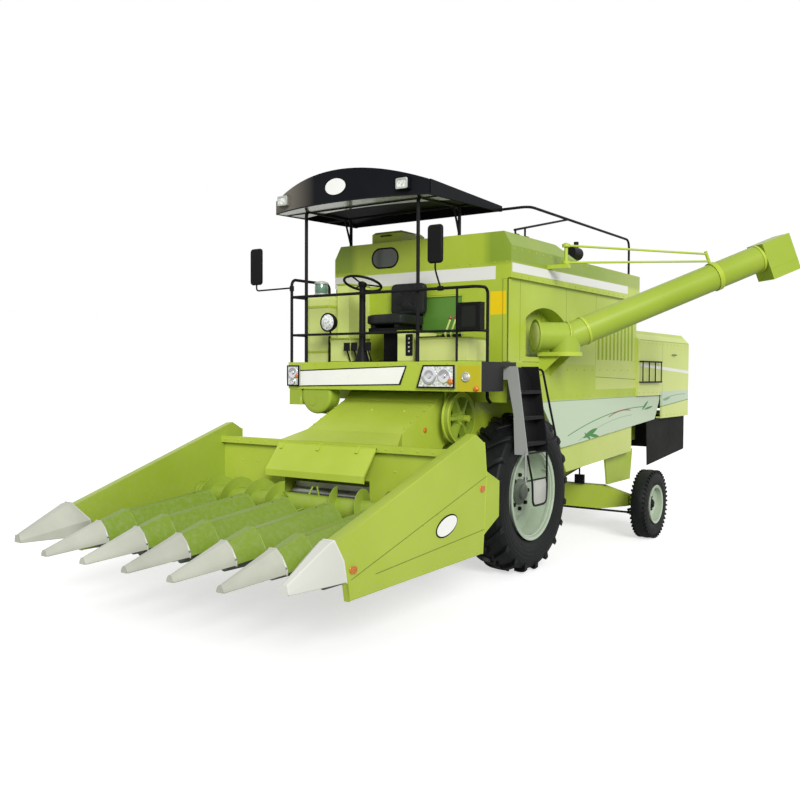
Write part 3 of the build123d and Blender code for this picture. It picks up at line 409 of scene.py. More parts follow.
def tyre_rubber(name, centre_y, centre_z, ribs):
    """Near-black rubber with dust in it and fine ribs round each sidewall, about the wheel's axle.

    The ribs are sines of the distance from the axle, sqrt((y - y0)^2 + (z - z0)^2).
    """
    made = Finish(name, Specular_IOR_Level=0.18)
    beside = made.y - centre_y
    over = made.z - centre_z
    radius = (beside * beside + over * over).root()
    wall = made.facing()[0].size().above(0.75, 0.2)
    dust = made.spread(made.noise(14.0, 6.0, 0.7), 0.50, 0.85)
    made.set("Base Color", made.mix(dust * 0.45, (0.006, 0.007, 0.007, 1), (0.028, 0.029, 0.026, 1)))
    made.set("Roughness", 0.50 + dust * 0.3)
    rings = (radius * ribs).sine().above(0.6, 0.5) * wall
    made.bump(made.noise(180.0, 4.0, 0.6) * 0.5 + rings * 1.5, 0.35, 0.004)
    return made.material


def lens_glass(name, tone, cell):
    """A moulded lens over a bright reflector: facets as cells, pale and glossy."""
    made = Finish(name, Metallic=0.35, Coat_Weight=1.0, Coat_Roughness=0.04)
    facets = made.cells(cell)
    darker = tuple(c * 0.45 for c in tone[:3]) + (1,)
    made.set("Base Color", made.mix(made.spread(facets, 0.15, 0.7), darker, tone))
    made.set("Roughness", 0.12 + facets * 0.2)
    made.bump(facets, 0.6, 0.004)
    return made.material


# The flank, tank and hood marks start with the flanks' painted highlight; the bands, lines and leaves are
# print, and the seams are joints.
SHIELD_MARKS = (
    painted_flank_sheen,
    flank_band((0.30, 3.92), (1.105, 1.322), (1.652, 1.662), 1.025, MINT),
    flank_band((0.80, 3.92), (1.138, 1.318), (1.150, 1.332), 1.025, LEAF),
    flank_band((0.30, 3.92), (1.643, 1.653), (1.652, 1.662), 1.025, LEAF_GREY),
    sweep_line((1.02, 1.27), (3.35, 1.52), 0.07, 0.005, LEAF),
    sweep_line((1.30, 1.20), (2.9, 1.43), 0.05, 0.003, LEAF_GREY),
    sweep_line((2.15, 1.43), (2.85, 1.49), 0.03, 0.006, BROWN),
    leaf((1.62, 1.27), 0.42, 0.030, 0.22, LEAF), leaf((1.72, 1.235), 0.30, 0.020, -0.10, LEAF),
    leaf((1.55, 1.235), 0.22, 0.018, -0.45, LEAF),
    leaf((3.36, 1.535), 0.26, 0.020, 0.45, LEAF), leaf((3.48, 1.50), 0.34, 0.014, 0.10, LEAF),
)
TANK_MARKS = (
    painted_flank_sheen,
    front_patch((-1.07, 0.90), (2.830, 2.955), WHITE),
    flank_band((-0.33, 2.62), (2.895, 2.905), (2.980, 2.995), 1.03, WHITE),
    front_patch((0.845, 1.018), (2.495, 2.715), YELLOW),
    front_patch((-0.02, 0.528), (2.33, 2.69), GREEN_SHADOW),
    seam_line((0.46, 1.935), (3.0, 1.87), 1.02), seam_line((-0.10, 2.06), (-0.10, 2.83), 1.02),
    seam_line((0.95, 2.06), (0.95, 2.83), 1.02), seam_line((1.745, 1.78), (1.745, 2.83), 1.02),
    seam_line((-0.05, 2.05), (0.95, 2.05), 1.02),
)
HOOD_MARKS = (
    painted_flank_sheen,
    flank_band((3.80, 5.05), (1.505, 1.588), (1.707, 1.716), 1.04, MINT),
    flank_band((3.80, 5.05), (1.495, 1.578), (1.505, 1.588), 1.04, LEAF),
    flank_band((3.10, 5.05), (2.035, 1.945), (2.075, 1.985), 1.04, WHITE),
    sweep_line((3.95, 1.60), (4.9, 1.66), 0.02, 0.005, LEAF_GREY),
    leaf((4.1, 1.605), 0.30, 0.018, 0.12, LEAF_GREY),
    seam_line((3.92, 1.36), (3.92, 2.36), 1.04), seam_line((3.05, 2.37), (5.02, 2.37), 1.04),
)
DIVIDER_MARKS = (
    seam_line((-3.246, 0.576), (-1.465, 1.096), 1.44), seam_line((-2.978, 0.567), (-1.492, 0.664), 1.44),
)

lime = lime_paint("lime_paint")
lime_tank = lime_paint("lime_tank_paint", (painted_shade_tank_top,) + TANK_MARKS)
# The flank paint and the divider paint are darkened all over by a small share of painted shade (deep).
lime_shield = lime_paint("lime_flank_paint", SHIELD_MARKS, deep=0.16)
lime_hood = lime_paint("lime_hood_paint", HOOD_MARKS)
lime_divider = lime_paint("lime_divider_paint", (inner_flank_painted_shade,) + DIVIDER_MARKS, deep=0.14)
lime_platform = lime_paint(
    "lime_fascia_paint",
    (front_patch((0.889, 1.126), (1.772, 2.003), ORANGE, -1.0), deck_plate, side_plate_shadow),
)
# Darker copies of the paint, as painted shade: on the cross auger, pulley and louvre blades, on the inner
# divider covers, and on the unloading auger, spout and drive cover.
lime_shade = lime_paint("lime_auger_painted_shade", deep=0.45)
lime_snout_shade = lime_paint("lime_snout_painted_shade", deep=0.72)
lime_tube = lime_paint("lime_tube_painted_shade", deep=0.34)
# The consoles, the oil tank and the auger's end dome take a lit copy of the paint, as painted light.
lime_painted_lit = lime_paint("lime_console_painted_light", pale=0.55)
rim_paint = simple("rim_paint", (0.36, 0.43, 0.32), 0.35, coat=0.4, contrast=0.12)
black_paint = simple("black_paint", (0.012, 0.012, 0.013), 0.42)
canopy_paint = simple(
    "canopy_paint", (0.006, 0.007, 0.009), 0.42, contrast=0.2, bump=0.03, marks=(front_glare,),
)
frame_grey = simple("frame_grey", (0.10, 0.12, 0.09), 0.45)
ladder_paint = simple("ladder_paint", (0.012, 0.012, 0.013), 0.4, marks=(ladder_front_painted_light,))
cap_paint = simple("cap_paint", (0.41, 0.42, 0.35), 0.34, coat=0.2, contrast=0.14, marks=(outer_cap_painted_light,))
rubber = simple("sheet_rubber", (0.016, 0.016, 0.015), 0.6, bump=0.2)
front_rubber = tyre_rubber("front_tyre_rubber", 0.0, FRONT_AXLE_Z, 160.0)
rear_rubber = tyre_rubber("rear_tyre_rubber", REAR_AXLE_Y, REAR_AXLE_Z, 260.0)
steel = simple("worn_steel", (0.38, 0.38, 0.36), 0.38, metallic=0.9, contrast=0.3)
chrome = simple("rod_chrome", (0.75, 0.75, 0.77), 0.12, metallic=1.0, contrast=0.05, bump=0.01)
cast_iron = simple("cast_iron", (0.10, 0.11, 0.10), 0.6, contrast=0.3, bump=0.3)
leather = simple("seat_cover", (0.02, 0.022, 0.021), 0.42, grain=160.0, bump=0.3, coat=0.1)
lens = lens_glass("lamp_lens", (0.85, 0.88, 0.84, 1), 45.0)
amber = lens_glass("amber_lens", (0.80, 0.22, 0.008, 1), 160.0)
plate_white = simple("plate_white", (0.86, 0.86, 0.83), 0.3, coat=0.3, contrast=0.03)
trim_black = simple("trim_black", (0.010, 0.010, 0.010), 0.45)
bezel = simple("bezel_grey", (0.42, 0.42, 0.38), 0.35, metallic=0.2, coat=0.3)
visor_lining = simple(
    "visor_lining", (0.80, 0.80, 0.76), 0.20, metallic=0.85, contrast=0.1, bump=0.02, marks=(lining_painted_reflection,),
)
mirror_glass = simple("mirror_glass", (0.55, 0.58, 0.60), 0.06, metallic=1.0, contrast=0.03, bump=0.0)
dark_glass = simple("dark_glass", (0.045, 0.055, 0.04), 0.10, coat=1.0, contrast=0.1, bump=0.0)
knob_red = simple("knob_red", (0.32, 0.07, 0.04), 0.35, coat=0.4)
bowl_green = simple("bowl_green", (0.10, 0.20, 0.13), 0.12, coat=1.0, bump=0.0)
mesh_black = simple("screen_black", (0.02, 0.022, 0.018), 0.65, bump=0.3)

for material, names in (
    (lime, "threshing_body chassis front_axle auger_bracket axle_stand rear_axle feeder_house header_trough"),
    (lime, "throat_guard auger_stays tank_hatch"), (lime_shield, "side_shields"),
    (lime_tank, "grain_tank engine_bay"), (lime_hood, "rear_hood"), (lime_divider, "end_dividers"),
    (lime_platform, "platform"), (lime_painted_lit, "consoles oil_tank"), (lime_snout_shade, "inner_dividers"),
    (lime_shade, "cross_auger feeder_pulley"), (lime_tube, "unloading_auger"),
    (black_paint, "canopy_frame platform_rails mirrors steering_column tank_rails exhaust"),
    (black_paint, "knuckle_left knuckle_right tie_rod lift_barrels"), (canopy_paint, "canopy"),
    (front_rubber, "front_tyre_left front_tyre_right"), (rear_rubber, "rear_tyre_left rear_tyre_right"),
    (rim_paint, "front_rim_left front_rim_right rear_rim_left rear_rim_right"),
    (cast_iron, "engine"), (rubber, "rubber_curtain"), (bezel, "headlights"), (leather, "seat"),
    (ladder_paint, "ladder"), (cap_paint, "snout_caps"), (frame_grey, "row_units"),
    (steel, "throat_beater"), (chrome, "lift_rods"),
):
    for node in names.split():
        nodes[node].data.materials.clear()
        nodes[node].data.materials.append(material)

# Forms: each is an array of points and a list of arrays of faces

X, Y, Z = np.eye(3)


def stack(forms):
    """Several forms as one: their points one after another, and their faces counted on."""
    points, faces, count = [], [], 0
    for form_points, form_faces in forms:
        points.append(form_points)
        faces.extend(group + count for group in form_faces)
        count += len(form_points)
    return np.concatenate(points), faces


def outward(form):
    """The same closed form with its faces turned outwards, so that the volume inside is positive."""
    points, faces = form
    volume = 0.0
    for group in faces:
        corner = points[group[:, 0]]
        for step in range(1, group.shape[1] - 1):
            second, third = points[group[:, step]], points[group[:, step + 1]]
            volume += np.einsum("ij,ij->", corner, np.cross(second, third))
    return (points, faces) if volume > 0 else (points, [group[:, ::-1] for group in faces])


def weave(grid, round_rows=False, round_columns=True, caps=False):
    """A grid of points, rows by columns, as four-sided faces between neighbours, with flat ends."""
    rows, columns = grid.shape[:2]
    number = np.arange(rows * columns).reshape(rows, columns)
    ends = [number[:1, ::-1], number[-1:]] if caps else []
    if round_rows:
        number = np.vstack((number, number[:1]))
    if round_columns:
        number = np.hstack((number, number[:, :1]))
    quads = np.stack((number[:-1, :-1], number[1:, :-1], number[1:, 1:], number[:-1, 1:]), -1)
    return grid.reshape(-1, 3), [quads.reshape(-1, 4), *ends]


def solid(grid):
    """A closed form woven from a grid of points, with flat ends and its faces outwards."""
    return outward(weave(grid, caps=True))


def around(steps):
    """Angles that part a full circle evenly."""
    return np.linspace(0.0, 2.0 * np.pi, steps, endpoint=False)


def beside(axis):
    """Two directions square to an axis and to each other."""
    axis = np.asarray(axis, float) / np.linalg.norm(axis)
    first = np.cross(axis, Z if abs(axis[2]) < 0.9 else Y)
    first /= np.linalg.norm(first)
    return axis, first, np.cross(axis, first)


def lathe(profile, centre, axis, steps=32, closed=False):
    """A profile of (distance along, radius) turned about an axis: c + a*along + r*(cos, sin).

    An open profile gets flat ends, and a closed one is a ring.
    """
    axis, first, second = beside(axis)
    along, radius = np.asarray(profile, float).T
    turn = around(steps)
    spokes = np.cos(turn)[:, None] * first + np.sin(turn)[:, None] * second
    grid = centre + along[:, None, None] * axis + radius[:, None, None] * spokes
    return outward(weave(grid, round_rows=closed, caps=not closed))


def prism(outline, at, right, up, depth):
    """An outline in the plane of right and up at a place, carried along the vector depth."""
    outline = np.asarray(outline, float)
    face = np.asarray(at, float) + outline[:, :1] * right + outline[:, 1:] * up
    return solid(np.stack((face, face + depth)))


def slab(first, second):
    """A box between two opposite corners."""
    low, high = np.sort(np.array((first, second), float), axis=0)
    wide, long, tall = high - low
    return prism(((0, 0), (wide, 0), (wide, long), (0, long)), low, X, Y, Z * tall)


def frame_ring(outer, inner, at, right, up, depth):
    """A flat ring between two outlines with as many points each, carried along depth."""
    outer, inner = np.asarray(outer, float), np.asarray(inner, float)
    at = np.asarray(at, float)
    loops = [at + o[:, :1] * right + o[:, 1:] * up + d for o, d in (
        (outer, depth * 0), (outer, depth), (inner, depth), (inner, depth * 0),
    )]
    return outward(weave(np.stack(loops), round_rows=True))


def rounded(width, height, radius, steps=6):
    """A rectangle's outline with quarter circles of a radius for corners, about its middle."""
    quarter = np.linspace(0.0, np.pi / 2, steps)
    arcs = [
        (sx * (width / 2 - radius), sy * (height / 2 - radius)) + radius * np.stack(
            (np.cos(quarter + turn), np.sin(quarter + turn)), -1)
        for sx, sy, turn in ((1, 1, 0), (-1, 1, np.pi / 2), (-1, -1, np.pi), (1, -1, 1.5 * np.pi))
    ]
    return np.concatenate(arcs)


def oval(width, height, steps=32):
    """An ellipse's outline: (w/2 cos, h/2 sin)."""
    turn = around(steps)
    return np.stack((width / 2 * np.cos(turn), height / 2 * np.sin(turn)), -1)


def eased(corners, radius, steps=6):
    """A path through corners, each eased by a bow (1-t)^2 start + 2t(1-t) corner + t^2 end."""
    corners = np.asarray(corners, float)
    inner = corners[1:-1, None]
    back = corners[:-2, None] - inner
    on = corners[2:, None] - inner
    reach = np.broadcast_to(np.asarray(radius, float).reshape(-1, 1, 1), inner.shape[:1] + (1, 1))
    t = np.linspace(0.0, 1.0, steps)[None, :, None]
    start = inner + back / np.linalg.norm(back, axis=2, keepdims=True) * reach
    end = inner + on / np.linalg.norm(on, axis=2, keepdims=True) * reach
    bows = (1 - t) ** 2 * start + 2 * t * (1 - t) * inner + t ** 2 * end
    return np.concatenate((corners[:1], bows.reshape(-1, 3), corners[-1:]))


def pipe(path, radius, square, sides=12):
    """A round bar along a path: p + r(cos*square' + sin*binormal), kept upright by one direction."""
    path = np.asarray(path, float)
    runs = np.diff(path, axis=0)
    runs /= np.linalg.norm(runs, axis=1, keepdims=True)
    way = np.concatenate((runs[:1], runs[:-1] + runs[1:], runs[-1:]))
    way /= np.linalg.norm(way, axis=1, keepdims=True)
    first = np.cross(way, square)
    first /= np.linalg.norm(first, axis=1, keepdims=True)
    second = np.cross(way, first)
    turn = around(sides)
    grid = (
        path[:, None] + np.cos(turn)[None, :, None] * first[:, None] * radius
        + np.sin(turn)[None, :, None] * second[:, None] * radius
    )
    return solid(grid)


def bar(start, end, radius, sides=12):
    """A straight round bar between two points."""
    start, end = np.asarray(start, float), np.asarray(end, float)
    length = np.linalg.norm(end - start)
    return lathe(((0, radius), (length, radius)), start, end - start, sides)


def scatter(form, places, turns=None):
    """One form at many places, each turned by its own matrix where turns are given."""
    points, faces = form
    places = np.asarray(places, float)
    turned = points[None] if turns is None else np.einsum("nij,pj->npi", turns, points)
    moved = (turned + places[:, None]).reshape(-1, 3)
    offset = (np.arange(len(places)) * len(points))[:, None, None]
    return moved, [(group[None] + offset).reshape(-1, group.shape[1]) for group in faces]


def bolts(places, axis, radius=0.009, height=0.006):
    """Six-sided bolt heads with a chamfered top, at many places along one axis."""
    profile = ((-0.001, radius), (height * 0.75, radius), (height, radius * 0.8))
    return scatter(lathe(profile, (0, 0, 0), axis, 6), places)


def row(start, end, count):
    """Evenly spaced places from start to end."""
    return np.linspace(np.asarray(start, float), np.asarray(end, float), count)


def all_rows(*runs):
    """The places of several rows together; each run is (start, end, count)."""
    return np.concatenate([row(*run) for run in runs])


def spots(x, y, z):
    """Places whose coordinates are given apart, each as an array or as one number for all."""
    return np.stack(np.broadcast_arrays(x, y, z), -1)


def flank_bolts(half, *runs):
    """Bolts that face outwards in rows on both flanks; each run is (first y, last y, z, count)."""
    places = all_rows(*[((half, y, z), (half, end, z), count) for y, end, z, count in runs])
    return [bolts(places * (side, 1, 1), X * side, 0.008, 0.005) for side, _ in SIDES]


def spun(places, centre, turns, axis=0):
    """Places turned about a centre by several angles, in the plane square to one axis."""
    others = [n for n in range(3) if n != axis]
    cos, sin = np.cos(turns), np.sin(turns)
    out = np.repeat((np.asarray(places, float) - centre)[None], len(turns), 0)
    first, second = out[..., others[0]].copy(), out[..., others[1]].copy()
    out[..., others[0]] = cos[:, None] * first - sin[:, None] * second
    out[..., others[1]] = sin[:, None] * first + cos[:, None] * second
    return out.reshape(-1, 3) + centre


def bolt_circle(centre, radius, count, axis, size, height):
    """Bolts evenly spaced on a circle about a centre, in a plane square to X."""
    centre = np.asarray(centre, float)
    places = spun([centre + Y * radius], centre, around(count))
    return bolts(places, axis, size, height)


def wheel_turns(count, first=0.0):
    """Matrices that turn about X by even steps of a full circle."""
    turn = first + around(count)
    cos, sin, none, one = np.cos(turn), np.sin(turn), np.zeros(count), np.ones(count)
    return np.stack((one, none, none, none, cos, -sin, none, sin, cos), -1).reshape(-1, 3, 3)


def flight(start_x, end_x, pitch, hand, inner, outer, centre, thick=0.006, steps=24):
    """A screw's blade about an axis along X: a thin strip from the inner to the outer radius.

    Its angle is hand * 2 pi (x - start) / pitch, so that it climbs one pitch in each turn.
    """
    x = np.linspace(start_x, end_x, int(abs(end_x - start_x) / pitch * steps) + 1)
    angle = hand * 2.0 * np.pi * (x - start_x) / pitch
    shift = np.array((-thick, -thick, thick, thick)) / 2
    radius = np.array((inner, outer, outer, inner))
    grid = np.stack((
        x[:, None] + shift,
        centre[1] + radius * np.cos(angle)[:, None],
        centre[2] + radius * np.sin(angle)[:, None],
    ), -1)
    return solid(grid)


def cushion(centre, size, power, channels, crown, face, steps=(40, 64)):
    """A closed, crowned pad: a squared-off ball, w |cos|^p sgn(cos), with sewn channels.

    The face named by its axis swells by crown in its middle, and each channel draws it in by a
    narrow bell. The sides pull in between the corners by a twentieth.
    """
    high = np.linspace(-np.pi / 2, np.pi / 2, steps[0])[1:-1]
    turn = around(steps[1])

    def bent(wave):
        return np.sign(wave) * np.abs(wave) ** power

    flat = bent(np.cos(high))[:, None]
    unit = np.stack((
        flat * bent(np.cos(turn)), flat * bent(np.sin(turn)),
        np.repeat(bent(np.sin(high))[:, None], len(turn), 1),
    ), -1)
    if face == 1:
        unit = unit[..., (0, 2, 1)]
    across = [n for n in range(3) if n != face]
    middle = (1 - unit[..., across[0]] ** 2) * (1 - unit[..., across[1]] ** 2)
    for axis, other in (across, across[::-1]):
        unit[..., axis] *= 1 - 0.05 * (1 - unit[..., other] ** 2)
    grid = unit * np.asarray(size) / 2
    side = np.sign(unit[..., face])
    swell = crown * middle
    for place in channels:
        swell = swell - 0.010 * np.exp(-(((grid[..., across[0]] - place) / 0.009) ** 2))
    grid[..., face] += side * swell * np.clip(np.abs(unit[..., face]) * 3 - 1, 0, 1)
    return solid(grid + np.asarray(centre))


def linked(name, data):
    """A new object that shows some data, put into the scene."""
    made = bpy.data.objects.new(name, data)
    bpy.context.scene.collection.objects.link(made)
    return made


def piece(name, body, slot, finish, *forms, bevel=0.0, segments=2, angle=38.0, smooth=0):
    """A new piece of the machine: its forms joined in one mesh, riding on a body."""
    points, faces = stack(forms)
    mesh = bpy.data.meshes.new(name)
    mesh.from_pydata(here(points).tolist(), [], [face for group in faces for face in group.tolist()])
    mesh.shade_smooth()
    mesh.set_sharp_from_angle(angle=math.radians(angle))
    mesh.materials.append(finish)
    made = linked(name, mesh)
    if bevel:
        edge = made.modifiers.new("edges", "BEVEL")
        edge.width = bevel
        edge.segments = segments
        edge.limit_method = "ANGLE"
        edge.angle_limit = math.radians(angle)
    if smooth:
        rounder = made.modifiers.new("rounder", "SUBSURF")
        rounder.levels = smooth
        rounder.render_levels = smooth
    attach(made, body)
    return made


# Drive tyres in place of their plain solids: a carcass with V pairs of bars out to the same radius


def tread_bar(side):
    """One bar at a tyre's top: from the middle to the shoulder, swept back by its share of a bow.

    Across the tyre at u its edges lie at angles (sweep u/edge -+ half)/R, and its tip follows the
    crown, which falls off towards the shoulder.
    """
    across = np.array((0.010, 0.055, 0.100, 0.145, 0.178, 0.193))
    tip = np.array((0.776, 0.776, 0.774, 0.769, 0.756, 0.740))
    foot = np.full(6, 0.690)
    middle = -0.030 + 0.150 * across / 0.193
    half_foot, half_tip = 0.033, 0.024
    radius = np.stack((foot, tip, tip, foot), -1)
    edges = (middle - half_foot, middle - half_tip, middle + half_tip, middle + half_foot)
    angle = np.stack(edges, -1) / FRONT_AXLE_Z
    grid = np.stack((
        np.repeat(side * across[:, None], 4, 1), radius * np.sin(angle), radius * np.cos(angle),
    ), -1)
    return solid(grid)


wall_profile = [(-0.142, 0.4335), (-0.180, 0.500), (-0.1965, 0.585), (-0.195, 0.650), (-0.188, 0.6985)]
wall_profile += [(-0.158, 0.730), (-0.059, 0.738)]
wall_profile += [(-x, r) for x, r in wall_profile[::-1]]
bar_count = 20
half_step = np.pi / (2 * bar_count)
for side, word in SIDES:
    hub = np.array((side * 0.960, 0.0, FRONT_AXLE_Z))
    bars = [
        scatter(tread_bar(way), np.repeat([hub], bar_count, 0), wheel_turns(bar_count, -way * half_step))
        for way in (1, -1)
    ]
    made = piece(
        f"front_tread_{word}", f"front_wheel_{word}", "tyre", front_rubber,
        lathe(wall_profile, hub, X, 96, closed=True), *bars, bevel=0.004, segments=1,
    )
    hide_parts(f"front_tyre_{word}")

# Canopy in place of its plain solid: the visor bows forward, and the roof is hollow below

canopy_left, canopy_right, canopy_mid = 0.620, -1.270, -0.325
visor_half = (canopy_left - canopy_right) / 2
visor_sag = 0.180
visor_radius = (visor_half ** 2 + visor_sag ** 2) / (2 * visor_sag)


def visor_y(x):
    """The visor's front edge: a circle's arc from corner to corner, foremost in the middle."""
    return -1.230 + visor_radius - np.sqrt(visor_radius ** 2 - (np.asarray(x) - canopy_mid) ** 2)


def canopy_lines(x, inset):
    """The four corners of the canopy's cut at each x: front foot and top, rear top and foot.

    The tops follow 1 - (x/half)^2 between the edge's height and the crown's.
    """
    crown = 1 - ((x - canopy_mid) / visor_half) ** 2
    front, rear = visor_y(x) + inset, 0.270 - inset
    return [
        spots(x, front, 3.550), spots(x, front, 3.680 + 0.176 * crown - inset),
        spots(x, rear, 3.640 + 0.060 * crown - inset), spots(x, rear, 3.590),
    ]


roof_x = np.linspace(canopy_right + 0.010, canopy_left - 0.010, 61)
roof = np.stack(canopy_lines(roof_x, 0.0) + canopy_lines(roof_x, 0.025)[::-1], 1)
cheeks = [
    prism(np.array(canopy_lines(np.array([x]), 0.0))[:, 0, 1:], (start, 0, 0), Y, Z, X * 0.022)
    for x, start in ((canopy_left - 0.004, canopy_left - 0.022), (canopy_right + 0.004, canopy_right))
]
visor_lamps = ((-1.080, -1.162), (0.385, -1.175))
lamp_boxes = [slab((x - 0.065, front, 3.600), (x + 0.065, front + 0.090, 3.700)) for x, front in visor_lamps]
canopy = piece(
    "canopy_roof", "machine", "canopy_paint", canopy_paint,
    solid(roof), *cheeks, *lamp_boxes, bevel=0.004,
)
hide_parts("canopy")

# Rails along the tank's top: a bar from the canopy's corner, a brace and short posts

rail_x, rail_z = 0.950, 3.602
rail_path = (
    (0.620, 0.235, rail_z), (rail_x, 0.235, rail_z), (rail_x, 2.940, rail_z), (rail_x, 2.940, 3.147),
)
rails = piece(
    "tank_top_rails", "machine", "black_paint", black_paint,
    pipe(eased(rail_path, 0.10), 0.014, (0.3, 0.2, 0.9)),
    pipe(((rail_x, -0.080, 3.327), (rail_x, 1.150, rail_z)), 0.011, X),
    *[bar((rail_x, y, 3.276), (rail_x, y, z), 0.010) for y, z in ((-0.060, 3.331), (0.142, 3.376))],
    *[
        slab((rail_x - 0.030, y - 0.030, z), (rail_x + 0.030, y + 0.030, z + 0.009))
        for y, z in ((-0.060, 3.280), (0.142, 3.280), (2.94, 3.145))
    ],
)
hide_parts("tank_rails")

# Header covers in place of their plain solids: folded skins, ridged dividers and blunt caps

SEAM_Z = np.array((0.400, 0.585, 0.725, 0.850, 1.000))
SEAM_Y = np.array((-3.256, -3.293, -3.335, -3.400, -3.400))


def sheet_loft(sections, side=1):
    """A closed form through sections of (x, z) points, each at its own Y, flat or point by point."""
    rows = [
        np.column_stack((side * np.asarray(s)[:, 0], np.broadcast_to(y, len(s)), np.asarray(s)[:, 1]))
        for y, s in sections
    ]
    return solid(np.stack(rows))


def ridged(half, base, ridge):
    """A divider's cross-section: a flat ridge and a fold in each flank."""
    rise = ridge - base
    right = np.array((
        (0.24 * half, ridge), (0.66 * half, base + 0.7 * rise), (half, base + 0.25 * rise), (half, base),
    ))
    return np.concatenate((right[::-1] * (-1, 1), right))


def skin(low, fold, crest, ridge_x, inner_x, inner_z, lip_x):
    """An end divider's cross-section: the outer skin, its fold, the crest and the inner flank."""
    return np.array((
        (DIVIDER_HALF, low), (DIVIDER_HALF, fold), (1.428, crest - 0.008), (ridge_x, crest),
        (inner_x, inner_z), (inner_x, 0.628), (lip_x, 0.603), (lip_x, low),
    ))


skin_front = skin(0.434, 0.525, 0.828, 1.335, 1.200, 0.700, 1.425)
skin_middle = skin(0.449, 0.765, 1.108, 1.340, 1.340, 0.790, 1.340)
skin_rear = skin(0.469, 1.096, 1.495, 1.340, 1.340, 0.900, 1.340)
seam_y = np.interp(skin_front[:, 1], SEAM_Z, SEAM_Y)
skin_seam = skin_front + (skin_middle - skin_front) * ((seam_y + 3.420) / 0.820)[:, None]
skin_crest = skin_middle + (skin_rear - skin_middle) * (1.000 / 1.135)
skin_end = skin_rear.copy()
skin_end[2:4, 1] = (1.367, 1.375)
end_y = np.array((-1.522, -1.465, -1.465, -1.465, -1.465, -1.500, -1.505, -1.520))
cap_half = [
    np.array(points) for points in (
        ((1.438, 0.598), (1.438, 0.618), (1.430, 0.646), (1.392, 0.646), (1.380, 0.618), (1.380, 0.598)),
        ((1.446, 0.588), (1.446, 0.616), (1.432, 0.656), (1.390, 0.656), (1.372, 0.616), (1.372, 0.588)),
        ((1.452, 0.572), (1.452, 0.690), (1.437, 0.852), (1.345, 0.852), (1.198, 0.714), (1.198, 0.600)),
        ((1.452, 0.566), (1.452, 0.740), (1.437, 0.905), (1.345, 0.905), (1.198, 0.740), (1.198, 0.600)),
    )
]
cap_seam_y = np.interp(cap_half[2][:, 1], SEAM_Z, SEAM_Y) - 0.002
cap_seam = cap_half[2] + (cap_half[3] - cap_half[2]) * ((cap_seam_y + 3.420) / 0.180)[:, None]
row_x = (np.arange(1, 6) - 3) * ROW_SPACING
columns = spots(row_x, 0.0, 0.0)
skins = [
    sheet_loft(((seam_y, skin_seam), (-2.600, skin_middle), (-1.600, skin_crest), (end_y, skin_end)), side)
    for side in (1, -1)
]
chain_cover = prism(
    ((-1.500, 1.150), (-1.245, 1.033), (-1.250, 0.742), (-1.500, 0.620)), (1.360, 0, 0), Y, Z, X * 0.085,
)
ends = piece("end_divider_skins", "header", "body_green", lime_divider, *skins, chain_cover, bevel=0.004)
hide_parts("end_dividers")
noses = sheet_loft(((-3.440, ridged(0.125, 0.600, 0.750)), (-3.180, ridged(0.152, 0.625, 0.822))))
covers = sheet_loft(((-3.190, ridged(0.148, 0.625, 0.800)), (-2.310, ridged(0.192, 0.625, 0.885))))
middle_parts = piece(
    "inner_divider_covers", "header", "body_green", lime_snout_shade,
    scatter(noses, columns), scatter(covers, columns), bevel=0.004,
)
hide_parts("inner_dividers")
inner_cap = sheet_loft((
    (-3.925, ridged(0.026, 0.558, 0.596)), (-3.913, ridged(0.034, 0.550, 0.604)),
    (-3.442, ridged(0.127, 0.596, 0.756)),
))
end_cap_cuts = ((-3.850, cap_half[0]), (-3.836, cap_half[1]), (-3.440, cap_half[2]), (cap_seam_y, cap_seam))
caps = piece(
    "snout_cap_shells", "header", "cap_paint", cap_paint, scatter(inner_cap, columns),
    *[sheet_loft(end_cap_cuts, side) for side, _ in SIDES], bevel=0.006,
)
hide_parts("snout_caps")

# Throat guard in place of its plain solid: as wide as the feeder, on the same three hinges

guard_sheet = (
    (-1.765, 1.298), (-1.765, 1.284), (-1.935, 1.060), (-1.935, 1.010), (-1.947, 1.010), (-1.947, 1.070),
)
guard = piece(
    "throat_guard_sheet", "header_guard", "body_green", lime,
    prism(guard_sheet, (-0.560, 0, 0), Y, Z, X * 1.110),
    bar((-0.560, -1.765, 1.290), (0.550, -1.765, 1.290), 0.008), bevel=0.002,
)
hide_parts("throat_guard")

# Ladder in place of its plain solid: stringers, treads, a dark back sheet, the lower loop and rail

